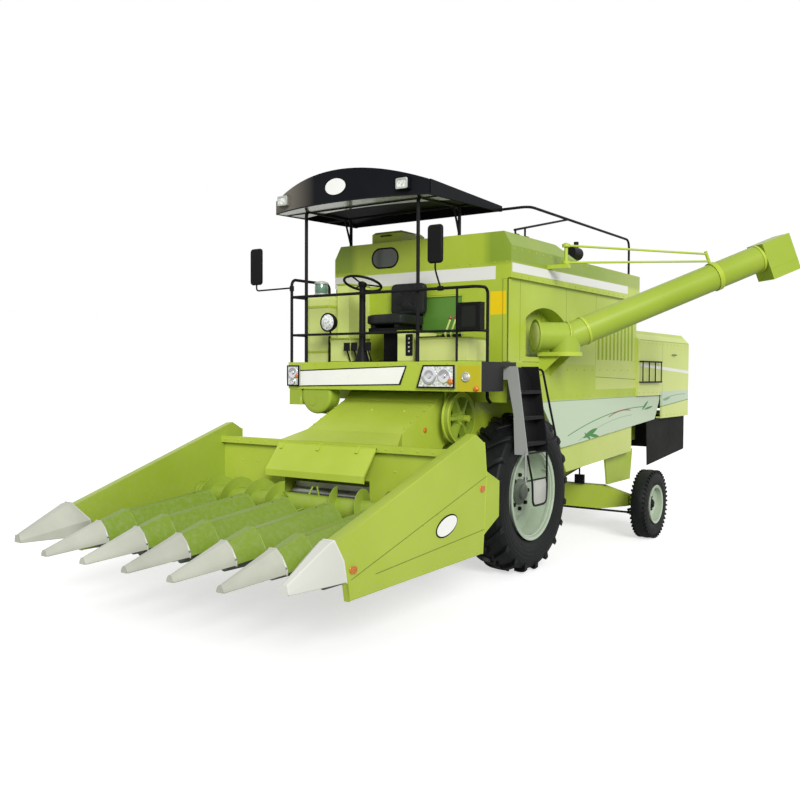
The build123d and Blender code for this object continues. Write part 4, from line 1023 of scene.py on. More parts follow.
stringer = (
    (1.031, 2.000), (1.205, 2.000), (1.320, 1.190), (1.190, 1.190), (1.176, 1.560), (1.110, 1.880),
    (1.031, 1.880),
)
back_sheet = (
    (1.040, 1.995), (1.046, 1.995), (1.122, 1.880), (1.184, 1.560), (1.196, 1.195), (1.190, 1.195),
    (1.178, 1.560), (1.116, 1.880),
)
loop_x = 1.305
lower_loop = [
    (loop_x, y, z) for y, z in (
        (-0.470, 1.210), (-0.355, 0.930), (-0.340, 0.700), (-0.070, 0.700), (-0.050, 0.900), (-0.060, 1.210),
    )
]
treads = [(1.250 - 0.13 * (z - 1.265), z) for z in (1.265, 1.505, 1.745)]
handrail = ((1.195, -0.060, 1.980), (1.215, 0.020, 1.970), (loop_x, 0.140, 1.320), (loop_x, -0.058, 1.270))
ladder = piece(
    "ladder_frame", "machine", "frame_grey", ladder_paint,
    *[prism(stringer, (0, y, 0), X, Z, Y * 0.015) for y in (-0.490, -0.065)],
    prism(back_sheet, (0, -0.476, 0), X, Z, Y * 0.412),
    *[slab((x - 0.055, -0.476, z), (x + 0.055, -0.064, z + 0.025)) for x, z in treads],
    pipe(eased(lower_loop, 0.06), 0.010, X),
    *[bar((1.303, y, 1.210), (1.303, y, 0.945), 0.009) for y in (-0.490, -0.050)],
    *[bar((1.303, -0.492, z), (1.303, -0.050, z), 0.008) for z in (1.198, 0.945)],
    pipe(eased(handrail, 0.035), 0.011, X), bevel=0.002,
)
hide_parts("ladder")
piece(
    "ladder_loop_sheet", "machine", "frame_grey", bezel,
    prism(rounded(0.262, 0.220, 0.05), (1.303, -0.200, 0.825), Y, Z, X * 0.004),
)

# Folded step on the hood's left side, the pan behind the shield and the drive cover below the platform

piece(
    "rear_step_frame", "machine", "black_paint", black_paint,
    *[bar((1.105, 3.051, z), (1.105, 3.755, z), 0.011) for z in (1.835, 2.095)],
    *[bar((1.055, y, z), (1.105, y, z), 0.009) for y in (3.063, 3.743) for z in (1.835, 2.095)],
    *[bar((1.105, y, 1.835), (1.105, y, 2.095), 0.008) for y in (3.063, 3.290, 3.516, 3.743)],
)
piece(
    "shield_pan", "machine", "body_green", lime_shield,
    prism(
        ((2.370, 0.955), (2.900, 0.980), (3.270, 0.980), (3.200, 0.600), (2.450, 0.600)),
        (0.880, 0, 0), Y, Z, X * 0.020,
    ),
    bevel=0.003,
)
piece(
    "drive_cover", "machine", "body_green", lime_tube,
    lathe(((0.0, 0.190), (0.130, 0.190), (0.145, 0.178), (0.150, 0.150)), (-0.775, -0.860, 1.715), -Y, 40),
    lathe(((0.0, 0.045), (0.100, 0.045)), (-0.815, -0.915, 1.655), -Y, 24),
    slab((-1.120, -1.020, 1.612), (-0.960, -0.700, 1.800)), bevel=0.006,
)

# Front wheels: dark nuts in the discs, a hub cap with bolts, the rim's lips and the valve's stem

front_cap_cut = (
    (0.0, 0.128), (0.016, 0.128), (0.020, 0.118), (0.034, 0.104), (0.040, 0.080), (0.062, 0.074),
    (0.068, 0.060),
)
front_bead_cut = (
    (0.0, 0.455), (0.006, 0.460), (0.010, 0.452), (0.004, 0.438), (-0.012, 0.430), (-0.004, 0.446),
)
front_lip_cut = ((-0.05, 0.421), (-0.045, 0.412), (-0.02, 0.412), (-0.015, 0.421))
for side, word in SIDES:
    body = f"front_wheel_{word}"
    hub = np.array((side * 0.980, 0.0, FRONT_AXLE_Z))
    nuts = bolt_circle(hub, 0.165, 8, X * side, 0.021, 0.026)
    piece(f"front_wheel_nuts_{word}", body, "rim_paint", trim_black, nuts)
    piece(
        f"front_hub_cap_{word}", body, "rim_paint", frame_grey, lathe(front_cap_cut, hub, X * side, 40),
        bolt_circle(hub + X * side * 0.020, 0.112, 10, X * side, 0.007, 0.007),
    )
    rim_edge = np.array((side * 1.140, 0.0, FRONT_AXLE_Z))
    piece(
        f"front_rim_bead_{word}", body, "rim_paint", rim_paint,
        *[lathe(cut, rim_edge, X * side, 72, closed=True) for cut in (front_bead_cut, front_lip_cut)],
        bar(rim_edge + (-0.08 * side, 0.36, 0.20), rim_edge + (-0.02 * side, 0.34, 0.19), 0.006, 8),
    )

# Rear wheels: nuts, a hub cap, a bead ring and the tyres' shoulder blocks

rear_cap_cut = ((0.0, 0.090), (0.004, 0.090), (0.008, 0.058), (0.030, 0.054), (0.046, 0.040), (0.050, 0.020))
rear_bead_cut = (
    (0.0, 0.222), (0.005, 0.227), (0.009, 0.220), (0.003, 0.208), (-0.010, 0.203), (-0.003, 0.216),
)
block_count = 44
block = prism(
    ((-0.011, 0.360), (0.011, 0.360), (0.009, 0.4005), (-0.009, 0.4005)), (0, 0, 0), Y, Z, X * 0.030,
)
for side, word in SIDES:
    body = f"rear_wheel_{word}"
    hub = np.array((side * 1.410, REAR_AXLE_Y, REAR_AXLE_Z))
    piece(
        f"rear_wheel_nuts_{word}", body, "rim_paint", trim_black,
        bolt_circle(hub, 0.085, 6, X * side, 0.013, 0.018), lathe(rear_cap_cut, hub, X * side, 32),
    )
    rim_edge = np.array((side * 1.487, REAR_AXLE_Y, REAR_AXLE_Z))
    piece(
        f"rear_rim_bead_{word}", body, "rim_paint", rim_paint,
        lathe(rear_bead_cut, rim_edge, X * side, 56, closed=True),
    )
    blocks = []
    for edge, first in ((0.060, 0.0), (-0.090, np.pi / block_count)):
        places = np.repeat([(side * 1.400 + edge, REAR_AXLE_Y, REAR_AXLE_Z)], block_count, 0)
        blocks.append(scatter(block, places, wheel_turns(block_count, first)))
    piece(f"rear_tread_blocks_{word}", body, "tyre", rear_rubber, *blocks)

# Steering wheel and column in place of their plain solid

column_top = np.array((-0.25, -0.93, 2.79))
tilt = np.array((0.0, 0.32, 0.95)) / np.hypot(0.32, 0.95)
rim_turn = around(12)
rim_section = np.stack((0.011 + 0.0125 * np.sin(rim_turn), 0.1835 + 0.0125 * np.cos(rim_turn)), -1)
_, wheel_side, wheel_up = beside(tilt)
spokes = [
    bar(
        column_top + tilt * 0.004,
        column_top + tilt * 0.011 + 0.182 * (math.cos(turn) * wheel_side + math.sin(turn) * wheel_up),
        0.008, 10,
    )
    for turn in np.radians((90, 210, 330))
]
steering = piece(
    "steering_wheel", "machine", "black_paint", trim_black,
    lathe(rim_section, column_top, tilt, 56, closed=True), *spokes,
    lathe(((-0.03, 0.030), (0.0, 0.044), (0.016, 0.042), (0.024, 0.030)), column_top, tilt, 28),
    lathe(
        ((0.0, 0.075), (0.02, 0.070), (0.10, 0.046), (0.16, 0.032), (0.748, 0.030)),
        (-0.25, -0.93, DECK_Z), Z, 28,
    ),
)
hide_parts("steering_column")

# Driver's seat: a padded cushion and backrest on a pedestal with its slides

seat_cushion = piece(
    "seat_cushion", "machine", "seat", leather,
    cushion((-0.05, -0.655, 2.453), (0.45, 0.44, 0.10), 0.32, (-0.075, 0.075), 0.014, 2), smooth=1,
)
seat_back = piece(
    "seat_backrest", "machine", "seat", leather,
    cushion((-0.05, -0.425, 2.675), (0.42, 0.085, 0.33), 0.34, (-0.07, 0.07), 0.014, 1), smooth=1,
)
seat_stand = piece(
    "seat_stand", "machine", "seat", trim_black,
    slab((-0.17, -0.76, DECK_Z), (0.07, -0.49, 2.06)), slab((-0.14, -0.73, 2.06), (0.04, -0.52, 2.33)),
    slab((-0.23, -0.86, 2.33), (0.13, -0.44, 2.37)), slab((-0.21, -0.85, 2.37), (-0.17, -0.45, 2.405)),
    slab((0.07, -0.85, 2.37), (0.11, -0.45, 2.405)),
    slab((-0.19, -0.405, 2.38), (-0.15, -0.385, 2.75)), slab((0.05, -0.405, 2.38), (0.09, -0.385, 2.75)),
    bevel=0.004,
)
for part in (seat_cushion, seat_back, seat_stand):
    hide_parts("seat")

# Mirrors: rounded housings with glass towards the driver, on the solid's arms

mirror_parts = []
glass_parts = []
for x, low, high, clamp_x, clamp_z in (
    (0.642, 2.930, 3.280, 0.700, 2.700), (-1.590, 2.850, 3.230, -1.095, 2.790),
):
    height = high - low
    middle = np.array((x, -1.010, (low + high) / 2))
    sizes = np.array((0.86, 0.96, 1.0, 0.99, 0.93))
    depth = np.array((-0.018, -0.012, 0.0, 0.010, 0.012))
    shell = rounded(0.160, height, 0.034, 7)
    grid = np.stack([
        middle + shell[:, :1] * share * X + shell[:, 1:] * (1 - (1 - share) * 0.5) * Z + Y * away
        for share, away in zip(sizes, depth)
    ])
    mirror_parts.append(solid(grid))
    glass = rounded(0.136, height - 0.024, 0.026, 7)
    glass_parts.append(prism(glass, middle + Y * 0.011, X, Z, Y * 0.003))
    clamp = np.array((clamp_x, -1.010, clamp_z))
    stem = ((x, -1.010, low + 0.06), (x, -1.010, low - 0.06), clamp + Z * 0.006)
    along, clamp_radius = (X * 0.026, 0.022) if clamp_x > 0 else (Z * 0.026, 0.023)
    mirror_parts += [
        pipe(eased(stem, 0.035), 0.0085, Y), bar((x, -1.0, low + 0.07), (x, -1.0, low + 0.02), 0.014),
        bar(clamp - along, clamp + along, clamp_radius),
    ]
mirror_shells = piece("mirror_housings", "machine", "mirror", trim_black, *mirror_parts)
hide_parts("mirrors")
piece("mirror_glass", "machine", "mirror", mirror_glass, *glass_parts)

# Canopy: lamp faces with pale bezels, a blank oval badge place, an edge bead and the visor's lip

visor_x = np.linspace(canopy_right + 0.002, canopy_left - 0.002, 49)
lip_grid = np.stack([
    spots(visor_x, visor_y(visor_x) + back, z)
    for back, z in ((0.004, 3.549), (0.42, 3.565), (0.42, 3.571), (0.004, 3.555))
], axis=1)
piece("visor_lip", "machine", "canopy_paint", visor_lining, solid(lip_grid))
edge_path = spots(visor_x, visor_y(visor_x) - 0.001, 3.552)
piece("visor_edge_bead", "machine", "canopy_paint", black_paint, pipe(edge_path, 0.006, Z, 8))
lamp_frames, lamp_lenses = [], []
for lamp_x, front in visor_lamps:
    at = (lamp_x, front, 3.650)
    lamp_frames.append(frame_ring(
        rounded(0.128, 0.098, 0.014), rounded(0.096, 0.066, 0.012), at, X, Z, -Y * 0.012,
    ))
    lamp_lenses.append(prism(rounded(0.100, 0.070, 0.012), np.add(at, (0, 0.001, 0)), X, Z, -Y * 0.007))
piece("visor_lamp_bezels", "machine", "canopy_paint", bezel, *lamp_frames, bevel=0.002)
piece("visor_lamp_lenses", "machine", "lamp", lens, *lamp_lenses, bevel=0.002)


def on_visor(width, height, middle_x, middle_z, proud, steps=40, rings=5):
    """An oval plate bent round the visor: rings of an ellipse laid on the arc, proud of it."""
    share = np.linspace(0.0, 1.0, rings)[1:]
    loops = []
    for scale, away in [(s, proud) for s in share] + [(1.0, -0.004)]:
        flat = oval(width * scale, height * scale, steps)
        x = middle_x + flat[:, 0]
        loops.append(spots(x, visor_y(x) - away, middle_z + flat[:, 1]))
    return solid(np.stack(loops))


for name, finish, width, height, proud in (
    ("ring", trim_black, 0.262, 0.168, 0.004), ("blank", plate_white, 0.246, 0.152, 0.007),
):
    badge = on_visor(width, height, -0.345, 3.695, proud)
    piece(f"visor_badge_{name}", "machine", "canopy_paint", finish, badge)

# Fascia: the bare plate, headlamps with reflectors, the side marker and bolts

plate_outline = np.array(((-1.010, 1.796), (0.275, 1.824), (0.345, 2.003), (-1.010, 1.960)))
inset_outline = plate_outline + ((0.012, 0.010), (-0.018, 0.010), (-0.016, -0.010), (0.012, -0.010))
fascia_face = (0.0, FASCIA_Y, 0.0)
piece(
    "fascia_plate_border", "machine", "black_paint", trim_black,
    frame_ring(plate_outline, inset_outline, fascia_face, X, Z, -Y * 0.006), bevel=0.001,
)
piece(
    "fascia_plate_blank", "machine", "body_green", plate_white,
    prism(inset_outline - ((0.001, 0.001),), fascia_face, X, Z, -Y * 0.004),
)
left_lamp = np.array(((0.470, 1.800), (0.540, 2.010), (0.880, 2.010), (0.880, 1.800)))
left_inner = left_lamp + ((0.022, 0.014), (0.012, -0.014), (-0.016, -0.014), (-0.016, 0.014))
right_lamp = np.array(((-1.120, 1.800), (-1.120, 2.010), (-0.960, 2.010), (-0.960, 1.800)))
right_inner = right_lamp + ((0.014, 0.014), (0.014, -0.014), (-0.014, -0.014), (-0.014, 0.014))
lamp_face = (0.0, -1.047, 0.0)
piece(
    "headlamp_rims", "machine", "black_paint", trim_black,
    frame_ring(left_lamp, left_inner, lamp_face, X, Z, -Y * 0.010),
    frame_ring(right_lamp, right_inner, lamp_face, X, Z, -Y * 0.010), bevel=0.002,
)
piece(
    "headlamp_lenses", "machine", "lamp", lens,
    prism(left_inner, lamp_face, X, Z, -Y * 0.006), prism(right_inner, lamp_face, X, Z, -Y * 0.006),
)
bowl = np.array((
    (0.0, 0.078), (0.006, 0.080), (0.010, 0.070), (0.004, 0.040), (0.004, 0.026), (0.014, 0.020),
))
reflectors = ((0.610, 1.910, 1.0), (0.770, 1.910, 0.85), (-1.040, 1.935, 0.75), (-1.040, 1.850, 0.42))
piece(
    "headlamp_reflectors", "machine", "lamp", chrome,
    *[lathe(bowl * (1, size), (x, -1.053, z), -Y, 32) for x, z, size in reflectors],
)
piece(
    "turn_lenses", "machine", "lamp", amber,
    lathe(((0.0, 0.030), (0.014, 0.028), (0.020, 0.016)), (0.838, -1.050, 1.860), -Y, 24),
    lathe(((0.0, 0.022), (0.012, 0.020), (0.016, 0.010)), (-0.990, -1.050, 1.900), -Y, 20),
    lathe(((0.0, 0.026), (0.012, 0.024), (0.018, 0.012)), (1.090, -1.026, 1.800), -Y, 20),
)
piece(
    "side_marker_lamp", "machine", "lamp", bezel,
    lathe(
        ((0.0, 0.044), (0.010, 0.044), (0.016, 0.036), (0.012, 0.030), (0.022, 0.012)),
        (0.983, FASCIA_Y, 1.903), -Y, 32,
    ),
)
fascia_rows = all_rows(
    ((-1.08, FASCIA_Y, 2.024), (1.10, FASCIA_Y, 2.024), 15),
    ((-0.92, FASCIA_Y, 1.785), (0.86, FASCIA_Y, 1.785), 12),
)
piece("fascia_bolts", "machine", "body_green", lime, bolts(fascia_rows, -Y, 0.008, 0.005))

# Work lamps on the rail: the square one's face and the round one's bowl

round_lamp = (-0.586, -1.050, 2.430)
square_lamp = np.array((1.032, -1.065, 2.4375))
piece(
    "rail_lamp_housings", "machine", "black_paint", black_paint,
    slab((0.917, -1.065, 2.316), (1.147, -0.985, 2.559)),
    lathe(((0.0, 0.090), (-0.030, 0.090), (-0.070, 0.070), (-0.088, 0.035)), round_lamp, -Y, 40),
    bar((-0.586, -1.010, 2.315), (-0.586, -1.010, 2.380), 0.010), bevel=0.004,
)
piece(
    "rail_lamp_frame", "machine", "black_paint", trim_black,
    frame_ring(rounded(0.232, 0.242, 0.020), rounded(0.150, 0.190, 0.016), square_lamp, X, Z, -Y * 0.010),
    bevel=0.002,
)
piece(
    "rail_lamp_face", "machine", "black_paint", mesh_black,
    prism(rounded(0.152, 0.192, 0.016), square_lamp + Y * 0.001, X, Z, -Y * 0.005),
)
rim_cut = ((0.0, 0.091), (-0.012, 0.093), (0.006, 0.094), (0.012, 0.086), (0.006, 0.078))
piece(
    "round_lamp_rim", "machine", "black_paint", trim_black,
    lathe(rim_cut, round_lamp, -Y, 40, closed=True),
)
lens_cut = ((-0.004, 0.080), (0.006, 0.078), (0.014, 0.060), (0.019, 0.030), (0.020, 0.004))
piece("round_lamp_lens", "machine", "lamp", lens, lathe(lens_cut, round_lamp, -Y, 40))

# Platform fittings: console lids, plates and slots, lever boots and knobs, pedals, the oil bowl

lids = []
for low_x, high_x, front, rear, top in (
    (-0.675, -0.410, -0.900, -0.600, 2.270), (0.150, 0.330, -0.900, -0.500, 2.330),
    (0.360, 0.925, -0.900, -0.560, 2.255), (-0.750, -0.600, -0.700, TANK_FRONT_Y, 2.830),
):
    lids.append(slab((low_x - 0.006, front - 0.006, top), (high_x + 0.006, rear + 0.006, top + 0.010)))
    lids.append(slab((low_x - 0.004, front - 0.004, DECK_Z), (high_x + 0.004, rear + 0.004, DECK_Z + 0.012)))
piece("console_lids", "machine", "frame_grey", lime, *lids, bevel=0.004)
piece(
    "console_panel", "machine", "black_paint", trim_black,
    prism(rounded(0.075, 0.20, 0.008), (0.285, -0.900, 2.200), X, Z, -Y * 0.005),
    slab((0.40, -0.905, 2.262), (0.62, -0.860, 2.276)), bevel=0.002,
)
piece(
    "console_buttons", "machine", "black_paint", bezel,
    bolts([(0.285, -0.905, 2.14 + 0.04 * n) for n in range(4)], -Y, 0.010, 0.006),
)
lever_feet = np.array([(0.56 + 0.06 * n, -0.740, 2.262) for n in range(4)])
lever_tops = lever_feet + (0.030, 0.080, 0.190)
boot_cut = (
    (0.0, 0.026), (0.008, 0.024), (0.012, 0.018), (0.020, 0.020), (0.026, 0.013), (0.034, 0.015),
    (0.040, 0.010),
)
knob_cut = ((-0.014, 0.008), (-0.008, 0.015), (0.006, 0.018), (0.018, 0.013), (0.023, 0.004))
boot, knob = (lathe(cut, (0, 0, 0), Z, 20) for cut in (boot_cut, knob_cut))
piece("lever_boots", "machine", "black_paint", rubber, scatter(boot, lever_feet))
piece("lever_knobs", "machine", "black_paint", knob_red, scatter(knob, lever_tops))
piece(
    "pedals", "machine", "black_paint", trim_black,
    *[
        form for x in (-0.42, -0.33, -0.16) for form in (
            slab((x - 0.035, -0.965, 2.150), (x + 0.035, -0.950, 2.230)),
            bar((x, -0.957, 2.160), (x, -0.900, 2.045), 0.008),
        )
    ],
    bevel=0.003,
)
piece(
    "deck_mat", "machine", "rubber", rubber,
    slab((-0.58, -0.90, DECK_Z), (0.14, -0.46, 2.047)),
    *[slab((-0.56 + 0.05 * n, -0.89, 2.047), (-0.54 + 0.05 * n, -0.47, 2.051)) for n in range(14)],
)
bowl_at = (-0.965, -0.700, 2.720)
piece(
    "oil_bowl_base", "machine", "frame_grey", bezel,
    lathe(((0.0, 0.060), (0.018, 0.060), (0.022, 0.072), (0.034, 0.072), (0.036, 0.060)), bowl_at, Z, 32),
    lathe(((0.128, 0.060), (0.132, 0.074), (0.146, 0.074), (0.158, 0.050), (0.166, 0.020)), bowl_at, Z, 32),
)
piece(
    "oil_bowl", "machine", "lamp", bowl_green,
    lathe(((0.034, 0.064), (0.060, 0.070), (0.104, 0.070), (0.130, 0.064)), bowl_at, Z, 32),
)
band_outer, band_inner = rounded(0.312, 0.312, 0.018), rounded(0.300, 0.300, 0.012)
piece(
    "oil_tank_bands", "machine", "body_green", lime,
    *[frame_ring(band_outer, band_inner, (-0.920, -0.650, z), X, Y, Z * 0.022) for z in (2.14, 2.60)],
    lathe(
        ((0.0, 0.036), (0.012, 0.036), (0.018, 0.028), (0.034, 0.028), (0.040, 0.018)),
        (-0.83, -0.60, 2.718), Z, 24,
    ),
)
pipe_runs = (
    (((-0.78, -0.78, 2.30), (-0.75, -0.83, 2.30), (-0.75, -0.83, 2.045)), 0.02, 0.010, X),
    (((-0.78, -0.72, 2.20), (-0.73, -0.72, 2.20), (-0.73, -0.72, 2.045)), 0.02, 0.010, Y),
    (((0.90, -0.46, 1.98), (0.90, -0.50, 1.80), (0.90, -0.50, 1.70), (0.90, -0.44, 1.66)), 0.03, 0.016, X),
)
piece(
    "oil_pipes", "machine", "black_paint", trim_black,
    *[pipe(eased(path, bow), radius, square) for path, bow, radius, square in pipe_runs],
)

# Grain tank: window, bolts, edge trims, the auger's mouth cover and end dome, the roof's ribs and
# screen, and the grip of the hatch

piece(
    "tank_window", "machine", "lamp", dark_glass,
    prism(rounded(0.322, 0.192, 0.095, 12), (-0.400, -0.3535, 3.120), X, Z, -Y * 0.003),
)
piece(
    "tank_window_seal", "machine", "rubber", trim_black,
    frame_ring(
        rounded(0.344, 0.214, 0.1065, 12), rounded(0.312, 0.182, 0.0905, 12), (-0.400, TANK_FRONT_Y, 3.120),
        X, Z, -Y * 0.006,
    ),
    bevel=0.002,
)
front_bolts = all_rows(*[
    ((x, TANK_FRONT_Y, z), (end_x, TANK_FRONT_Y, end_z), count)
    for x, z, end_x, end_z, count in (
        (-1.01, 2.12, -1.01, 2.78, 7), (1.01, 2.12, 1.01, 2.78, 7),
        (-1.00, 2.99, -0.62, 2.99, 4), (-0.18, 2.99, 1.02, 2.99, 10),
    )
])
piece(
    "tank_bolts", "machine", "body_green", lime, bolts(front_bolts, -Y, 0.008, 0.005),
    *flank_bolts(1.065, (-0.30, 2.95, 3.115, 22), (-0.30, 2.95, 2.865, 22)),
    *flank_bolts(BODY_HALF, (-0.30, 2.95, 1.700, 20), (-0.30, -0.06, 2.10, 3), (1.0, 2.95, 1.98, 10)),
)
corner_trims = [
    slab((side * near, -0.366, 2.050), (side * 1.042, rear, 2.830))
    for near, rear in ((BODY_HALF, -0.300), (0.985, TANK_FRONT_Y)) for side, _ in SIDES
]
panel_edges = [
    slab((x, -0.362, z), (end_x, TANK_FRONT_Y, end_z))
    for x, z, end_x, end_z in (
        (-0.04, 2.690, 0.55, 2.706), (-0.04, 2.314, 0.55, 2.330),
        (-0.04, 2.330, -0.02, 2.690), (0.530, 2.330, 0.55, 2.690),
    )
]
piece("tank_corner_trims", "machine", "body_green", lime_tank, *corner_trims, *panel_edges, bevel=0.003)
arch_turn = np.linspace(0.10, np.pi - 0.10, 9)
arch_bolts = spots(0.862, 0.46 - 0.36 * np.cos(arch_turn), 2.36 + 0.20 * np.sin(arch_turn))
piece(
    "auger_mouth_cover", "machine", "body_green", lime,
    prism(rounded(0.80, 0.42, 0.20, 10), (0.860, 0.46, 2.34), Y, Z, X * 0.008),
    bolts(arch_bolts, X, 0.016, 0.014), bevel=0.002,
)
turned, rise = math.radians(43.6), math.radians(22.0)
turn_way = np.array((math.sin(turned), math.cos(turned), 0.0))
swivel = np.array((1.250, 0.450, 2.310))
mouth = swivel - turn_way * 0.320
# The end dome takes the lit copy of the paint, as painted light.
piece(
    "auger_end_dome", "auger", "body_green", lime_painted_lit,
    lathe(
        ((-0.02, 0.1395), (0.0, 0.1395), (0.008, 0.125), (0.014, 0.100), (0.023, 0.060), (0.028, 0.0)),
        mouth, -turn_way, 48,
    ),
)
ribs = [slab((-0.95, y - 0.012, 3.280), (0.95, y + 0.012, 3.288)) for y in (-0.10, 0.32, 0.62)]
ribs += [slab((-1.02, y - 0.012, 3.145), (1.02, y + 0.012, 3.153)) for y in (1.35, 1.60, 1.76, 2.20, 2.60)]
piece("roof_ribs", "machine", "body_green", lime, *ribs, bevel=0.003)
screen_at = (-0.35, 2.40, 3.145)
piece(
    "roof_screen", "machine", "black_paint", mesh_black,
    lathe(((0.0, 0.40), (0.020, 0.40), (0.030, 0.37), (0.034, 0.06)), screen_at, Z, 48),
    *[
        lathe(((0.030, r), (0.040, r), (0.040, r + 0.012), (0.030, r + 0.012)), screen_at, Z, 48, closed=True)
        for r in (0.12, 0.20, 0.28, 0.355)
    ],
)
hatch_grip = ((-0.50, -0.275, 3.360), (-0.50, -0.300, 3.360), (-0.38, -0.300, 3.360), (-0.38, -0.275, 3.360))
piece("hatch_fittings", "hatch", "body_green", black_paint, pipe(eased(hatch_grip, 0.012), 0.006, Z))

# Engine bay: dark screens and slanted blades behind the louvres, hood fittings

louvre_y = np.linspace(1.820, 2.860, 10)
blade = prism(((-0.013, 0.0), (0.013, 0.022), (0.013, 0.026), (-0.013, 0.004)), (0, 0, 0), Y, X, Z * 0.472)
for side, word in SIDES:
    blade_x = side * BODY_HALF - (0.018 if side > 0 else 0.008)
    places = spots(blade_x, louvre_y, 2.104)
    piece(f"louvre_blades_{word}", "machine", "body_green", lime_shade, scatter(blade, places))
    piece(
        f"louvre_screen_{word}", "machine", "black_paint", mesh_black,
        slab((side * 1.004, 1.775, 2.06), (side * 0.998, 2.905, 2.62)),
    )
piece(
    "hood_bolts", "machine", "body_green", lime,
    *flank_bolts(HOOD_HALF, (3.06, 5.00, 2.335, 14), (3.96, 5.00, 1.385, 8), (3.06, 3.86, 1.700, 6)),
    bolts(row((-0.98, HOOD_REAR_Y, 1.96), (0.98, HOOD_REAR_Y, 1.96), 13), Y, 0.008, 0.005),
)
grip = np.array(((1.058, 4.30, 2.20), (1.088, 4.30, 2.20), (1.088, 4.42, 2.20), (1.058, 4.42, 2.20)))
piece(
    "hood_handles", "machine", "black_paint", black_paint,
    *[pipe(eased(grip * (side, 1, 1), 0.012), 0.006, Z) for side, _ in SIDES],
    *[slab((x - 0.05, HOOD_REAR_Y, 2.02), (x + 0.05, 5.044, 2.05)) for x in (-0.6, 0.6)],
)
flap_x = np.linspace(-0.80, 0.80, 9)
piece(
    "rear_flaps", "machine", "rubber", rubber,
    *[slab((x - 0.095, 4.992, 1.44), (x + 0.095, 4.998, 1.93)) for x in flap_x[:-1] + 0.1], bevel=0.002,
)
piece(
    "tail_lamps", "machine", "lamp", knob_red,
    *[
        lathe(((0.0, 0.042), (0.016, 0.040), (0.024, 0.026)), (side * 0.95, HOOD_REAR_Y, 1.62), Y, 28)
        for side, _ in SIDES
    ],
)

# Unloading auger: rings at its joints, bolts round the swivel and the spout's chute

climb = turn_way * math.cos(rise) + Z * math.sin(rise)
bend = swivel + turn_way * 0.050
tube_end = bend + climb * (2.437 - 0.050) / math.cos(rise)
across_way = np.cross(turn_way, Z)
down_way = np.cross(climb, across_way)
band = ((-0.012, 0.139), (-0.012, 0.1455), (0.012, 0.1455), (0.012, 0.139))
piece(
    "auger_bands", "auger", "body_green", lime,
    *[lathe(band, bend + climb * at, climb, 48, closed=True) for at in (0.16, 2.22)],
    lathe(
        ((0.0, 0.139), (0.0, 0.150), (0.010, 0.150), (0.010, 0.139)), bend - turn_way * 0.05, turn_way, 48,
        closed=True,
    ),
)
flange_bolts = spun([(0.0, 0.0, 0.150)], np.zeros(3), around(10), axis=1)
foot_bolts = spun([(0.135, 0, 0)], np.zeros(3), around(8) + 0.2, axis=2)
mouth_turn = np.column_stack((across_way, turn_way, Z))
chute_at = tube_end - climb * 0.165 + down_way * 0.137
piece(
    "spout_chute", "auger", "body_green", lime_tube,
    frame_ring(
        ((-0.139, -0.165), (0.139, -0.165), (0.139, 0.165), (-0.139, 0.165)),
        ((-0.131, -0.157), (0.131, -0.157), (0.131, 0.157), (-0.131, 0.157)), chute_at, across_way, climb,
        down_way * 0.112,
    ),
)
piece(
    "auger_mouth_bolts", "auger", "body_green", lime,
    bolts(flange_bolts @ mouth_turn.T + mouth + turn_way * 0.018, turn_way, 0.009, 0.008),
    bolts(foot_bolts + swivel - Z * 0.150, Z, 0.010, 0.004),
)

# Header: the screw's true flights and fingers, hinge straps, bolts, pins, badge places and reflectors

auger_axis = np.array((0.0, -1.990, 0.790))
screw = [lathe(((-1.328, 0.095), (1.328, 0.095)), auger_axis, X, 40)]
for side in (1, -1):
    screw.append(flight(side * 1.315, side * 0.300, 0.27, side, 0.090, 0.189, auger_axis))
    screw.append(lathe(((side * 1.300, 0.112), (side * 1.325, 0.112)), auger_axis, X, 40))
    screw.append(bar((side * 1.32, -1.990, 0.790), (side * 1.384, -1.990, 0.790), 0.025, 24))
finger_turn = np.arange(9) * 2.399963
finger_way = spots(0.0, np.cos(finger_turn), np.sin(finger_turn))
finger_at = auger_axis + spots(np.arange(-4, 5) * 0.062, 0.0, 0.0)
screw += [bar(at + way * 0.07, at + way * 0.183, 0.008, 10) for at, way in zip(finger_at, finger_way)]
cross_screw = piece("cross_screw", "header_auger", "worn_steel", lime_shade, *screw)
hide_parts("cross_auger")

strap = ((0.0, 0.0), (0.012, -0.004), (-0.040, -0.060), (-0.052, -0.056))
straps = [prism(strap, (x - 0.014, -1.770, 1.306), Y, Z, X * 0.028) for x in (-0.500, -0.065, 0.370)]
guard_way = np.array((0.0, -0.170, -0.230))
guard_way /= np.linalg.norm(guard_way)
guard_out = np.array((0.0, guard_way[2], -guard_way[1]))
edge_way = guard_way * 0.265
guard_bolts = row((-0.52, -1.765, 1.298) + edge_way, (0.51, -1.765, 1.298) + edge_way, 9)
piece(
    "guard_hinge_straps", "header_guard", "body_green", lime, *straps,
    bolts(guard_bolts, guard_out, 0.007, 0.005),
)
trough_bolts = all_rows(*[
    ((x, y, z), (end, y, z), count)
    for x, end, y, z, count in (
        (-1.28, -0.76, -1.750, 1.290, 4), (0.64, 1.28, -1.750, 1.290, 5),
        (-1.28, -0.70, -1.702, 1.10, 4), (0.70, 1.28, -1.702, 1.10, 4),
    )
])
piece(
    "trough_bolts", "header", "body_green", lime, bolts(trough_bolts, -Y, 0.009, 0.006),
    slab((-0.405, -1.704, 1.005), (0.405, -1.700, 1.02)),
)
pin = lathe(((-0.004, 0.014), (0.008, 0.014), (0.012, 0.010)), (0, 0, 0), Z, 16)
piece(
    "divider_pins", "header", "black_paint", trim_black,
    *[scatter(pin, spots(row_x, y, z)) for y, z in ((-3.185, 0.803), (-2.450, 0.860))],
)
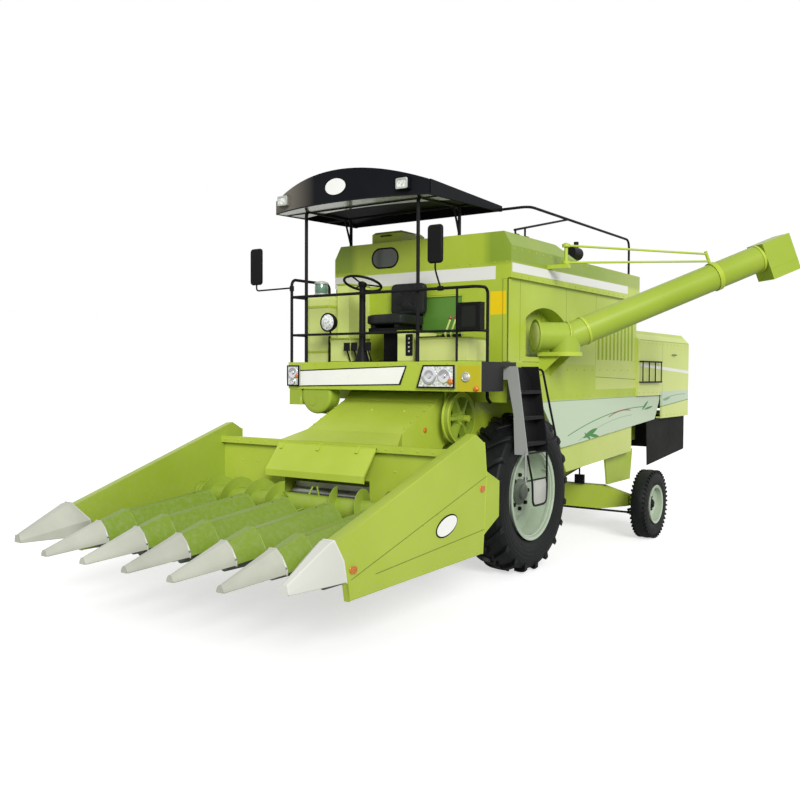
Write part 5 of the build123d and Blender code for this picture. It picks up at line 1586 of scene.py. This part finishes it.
piece(
    "cap_bolts", "header", "frame_grey", steel,
    *[bolts(spots(row_x + side * 0.124, -3.452, 0.640), X * side, 0.007, 0.010) for side, _ in SIDES],
)
oval_turn = math.radians(14)
tilted = np.array(((math.cos(oval_turn), math.sin(oval_turn)), (-math.sin(oval_turn), math.cos(oval_turn))))
for side, word in SIDES:
    middle = (side * (DIVIDER_HALF - 0.001), -2.075, 0.772)
    out = X * side
    piece(
        f"divider_badge_ring_{word}", "header", "black_paint", trim_black,
        prism(oval(0.310, 0.155, 40) @ tilted, middle, Y, Z, out * 0.005),
    )
    piece(
        f"divider_badge_blank_{word}", "header", "body_green", plate_white,
        prism(oval(0.286, 0.132, 40) @ tilted, middle, Y, Z, out * 0.008),
    )
    skin_bolts = all_rows(
        ((side * DIVIDER_HALF, -3.20, 0.610), (side * DIVIDER_HALF, -1.60, 1.035), 9),
        ((side * DIVIDER_HALF, -3.15, 0.480), (side * DIVIDER_HALF, -1.62, 0.500), 9),
    )
    piece(f"divider_bolts_{word}", "header", "body_green", lime_divider, bolts(skin_bolts, out, 0.008, 0.004))
    marker = prism(rounded(0.060, 0.040, 0.012), (0, 0, 0), Y, Z, out * 0.010)
    piece(
        f"divider_reflectors_{word}", "header", "lamp", amber,
        scatter(marker, [(side * DIVIDER_HALF, y, z) for y, z in ((-3.225, 0.640), (-1.540, 1.000))]),
        bevel=0.003,
    )

# Feeder house: bolts along its sloped roof, two studs and a marker on its flank

feeder_y = np.linspace(-0.80, -1.32, 6)
feeder_z = 1.761 + (feeder_y + 0.650) * 0.4730
feeder_bolts = np.concatenate([spots(x, feeder_y, feeder_z) for x in (-0.53, 0.53)])
piece(
    "feeder_fittings", "header", "body_green", lime, bolts(feeder_bolts, Z, 0.008, 0.006),
    *[
        lathe(((-0.004, 0.012), (0.010, 0.012)), (x, -1.0, 1.750 - 0.350 * 0.473), Z, 14)
        for x in (-0.083, 0.299)
    ],
)
piece(
    "feeder_markers", "header", "lamp", amber,
    lathe(((0.0, 0.024), (0.008, 0.024), (0.012, 0.014)), (0.551, -1.031, 1.414), X, 20),
)

# Drive pulley on the left: raised rims on both edges and bolts round its hub

pulley_at = np.array((0.680, -0.650, 1.515))
rim_half = np.array(((0.038, 0.233), (0.038, 0.243), (0.024, 0.243), (0.018, 0.233)))
piece(
    "pulley_rims", "drive_pulley", "worn_steel", lime,
    *[lathe(rim_half * (side, 1), pulley_at, X, 64, closed=True) for side in (-1, 1)],
    bolt_circle(pulley_at + X * 0.036, 0.052, 6, X, 0.009, 0.010),
)

# Axles: the steering pipe's fitting at the rear and the bolts of the final drives

axle_pipe = ((0.56, 2.40, 0.69), (0.56, 2.40, 0.80), (0.40, 2.40, 0.84), (0.40, 2.40, 0.955))
piece(
    "rear_axle_fittings", "machine", "black_paint", trim_black,
    slab((0.50, 2.385, 0.590), (0.62, 2.425, 0.700)), bar((0.56, 2.380, 0.640), (0.56, 2.330, 0.640), 0.020),
    pipe(eased(axle_pipe, 0.04), 0.010, Y), bevel=0.003,
)
piece(
    "final_drive_bolts", "machine", "body_green", lime,
    *[bolt_circle((side * 0.680, 0.0, FRONT_AXLE_Z), 0.10, 10, X * side, 0.011, 0.009) for side, _ in SIDES],
)

# Ladder: toothed treads

teeth = prism(((-0.004, 0.0), (0.004, 0.0), (0.0, 0.008)), (0, 0, 0), X, Z, Y * 0.41)
across = np.linspace(-0.048, 0.048, 6)
tread_places = np.concatenate([spots(x + across, -0.475, z + 0.024) for x, z in treads])
piece("tread_teeth", "machine", "black_paint", black_paint, scatter(teeth, tread_places))

# Stage: a white floor and studio, one soft sun, and the photograph's camera with its turn in degrees

SKY_LIGHT, FLOOR_GLOW = 0.50, 0.58
KEY_WAY, KEY_STRENGTH, KEY_ANGLE = (-0.64, 0.62, -0.42), 3.0, 26
CAMERA_PLACE, CAMERA_TURN = (5.0495, -7.7994, 1.9316), (88.2903, -0.2516, 35.2172)
CAMERA_LENS, CAMERA_SENSOR = 40.06, 36.0


def floor():
    """A wide flat floor, white to the camera where no shadow falls."""
    mesh = bpy.data.meshes.new("floor")
    far = 150.0
    mesh.from_pydata([(-far, -far, 0), (far, -far, 0), (far, far, 0), (-far, far, 0)], [], [(0, 1, 2, 3)])
    made = linked("floor", mesh)
    ground = Finish("pale_floor", Roughness=1.0, Specular_IOR_Level=0.0)
    seen = Number(ground, ground.node("ShaderNodeLightPath", {}).outputs["Is Camera Ray"])
    ground.set("Base Color", ground.mix(seen, (0.55, 0.56, 0.54, 1), (0.62, 0.62, 0.62, 1)))
    ground.set("Emission Color", ground.mix(seen, (0, 0, 0, 1), (FLOOR_GLOW, FLOOR_GLOW, FLOOR_GLOW, 1)))
    ground.shader.inputs["Emission Strength"].default_value = 1.0
    mesh.materials.append(ground.material)
    made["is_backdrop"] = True


def studio():
    """A plain white studio: full strength to the camera and in reflections, softer as a light."""
    scene_world = bpy.data.worlds.new("studio")
    scene_world.use_nodes = True
    bpy.context.scene.world = scene_world
    tree = scene_world.node_tree
    background = tree.nodes["Background"]
    background.inputs["Color"].default_value = (1, 1, 1, 1)
    path = tree.nodes.new("ShaderNodeLightPath")
    seen = path.outputs["Is Camera Ray"]
    for ray in ("Is Glossy Ray", "Is Transmission Ray"):
        total = tree.nodes.new("ShaderNodeMath")
        total.operation = "ADD"
        total.use_clamp = True
        tree.links.new(seen, total.inputs[0])
        tree.links.new(path.outputs[ray], total.inputs[1])
        seen = total.outputs[0]
    strength = tree.nodes.new("ShaderNodeMapRange")
    strength.inputs["To Min"].default_value = SKY_LIGHT
    strength.inputs["To Max"].default_value = 1.0
    tree.links.new(seen, strength.inputs["Value"])
    tree.links.new(strength.outputs["Result"], background.inputs["Strength"])


def sun(name, towards, strength, angle):
    """A soft sun that shines along a direction: tilted from straight down, then turned about Z."""
    data = bpy.data.lights.new(name, "SUN")
    data.energy = strength
    data.angle = math.radians(angle)
    x, y, z = np.asarray(towards, float) / np.linalg.norm(towards)
    linked(name, data).rotation_euler = (math.acos(-z), 0.0, math.atan2(-x, y))


def camera():
    """The photograph's camera: its place, its turn to the left and its slight tilt down."""
    data = bpy.data.cameras.new("camera")
    data.lens = CAMERA_LENS
    data.sensor_width = CAMERA_SENSOR
    data.clip_end = 500
    made = linked("camera", data)
    made.location = here(CAMERA_PLACE)
    made.rotation_euler = np.radians(CAMERA_TURN)
    bpy.context.scene.camera = made


floor()
studio()
sun("key", KEY_WAY, KEY_STRENGTH, KEY_ANGLE)
camera()
bpy.context.scene.view_settings.view_transform = "Standard"

low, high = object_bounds()
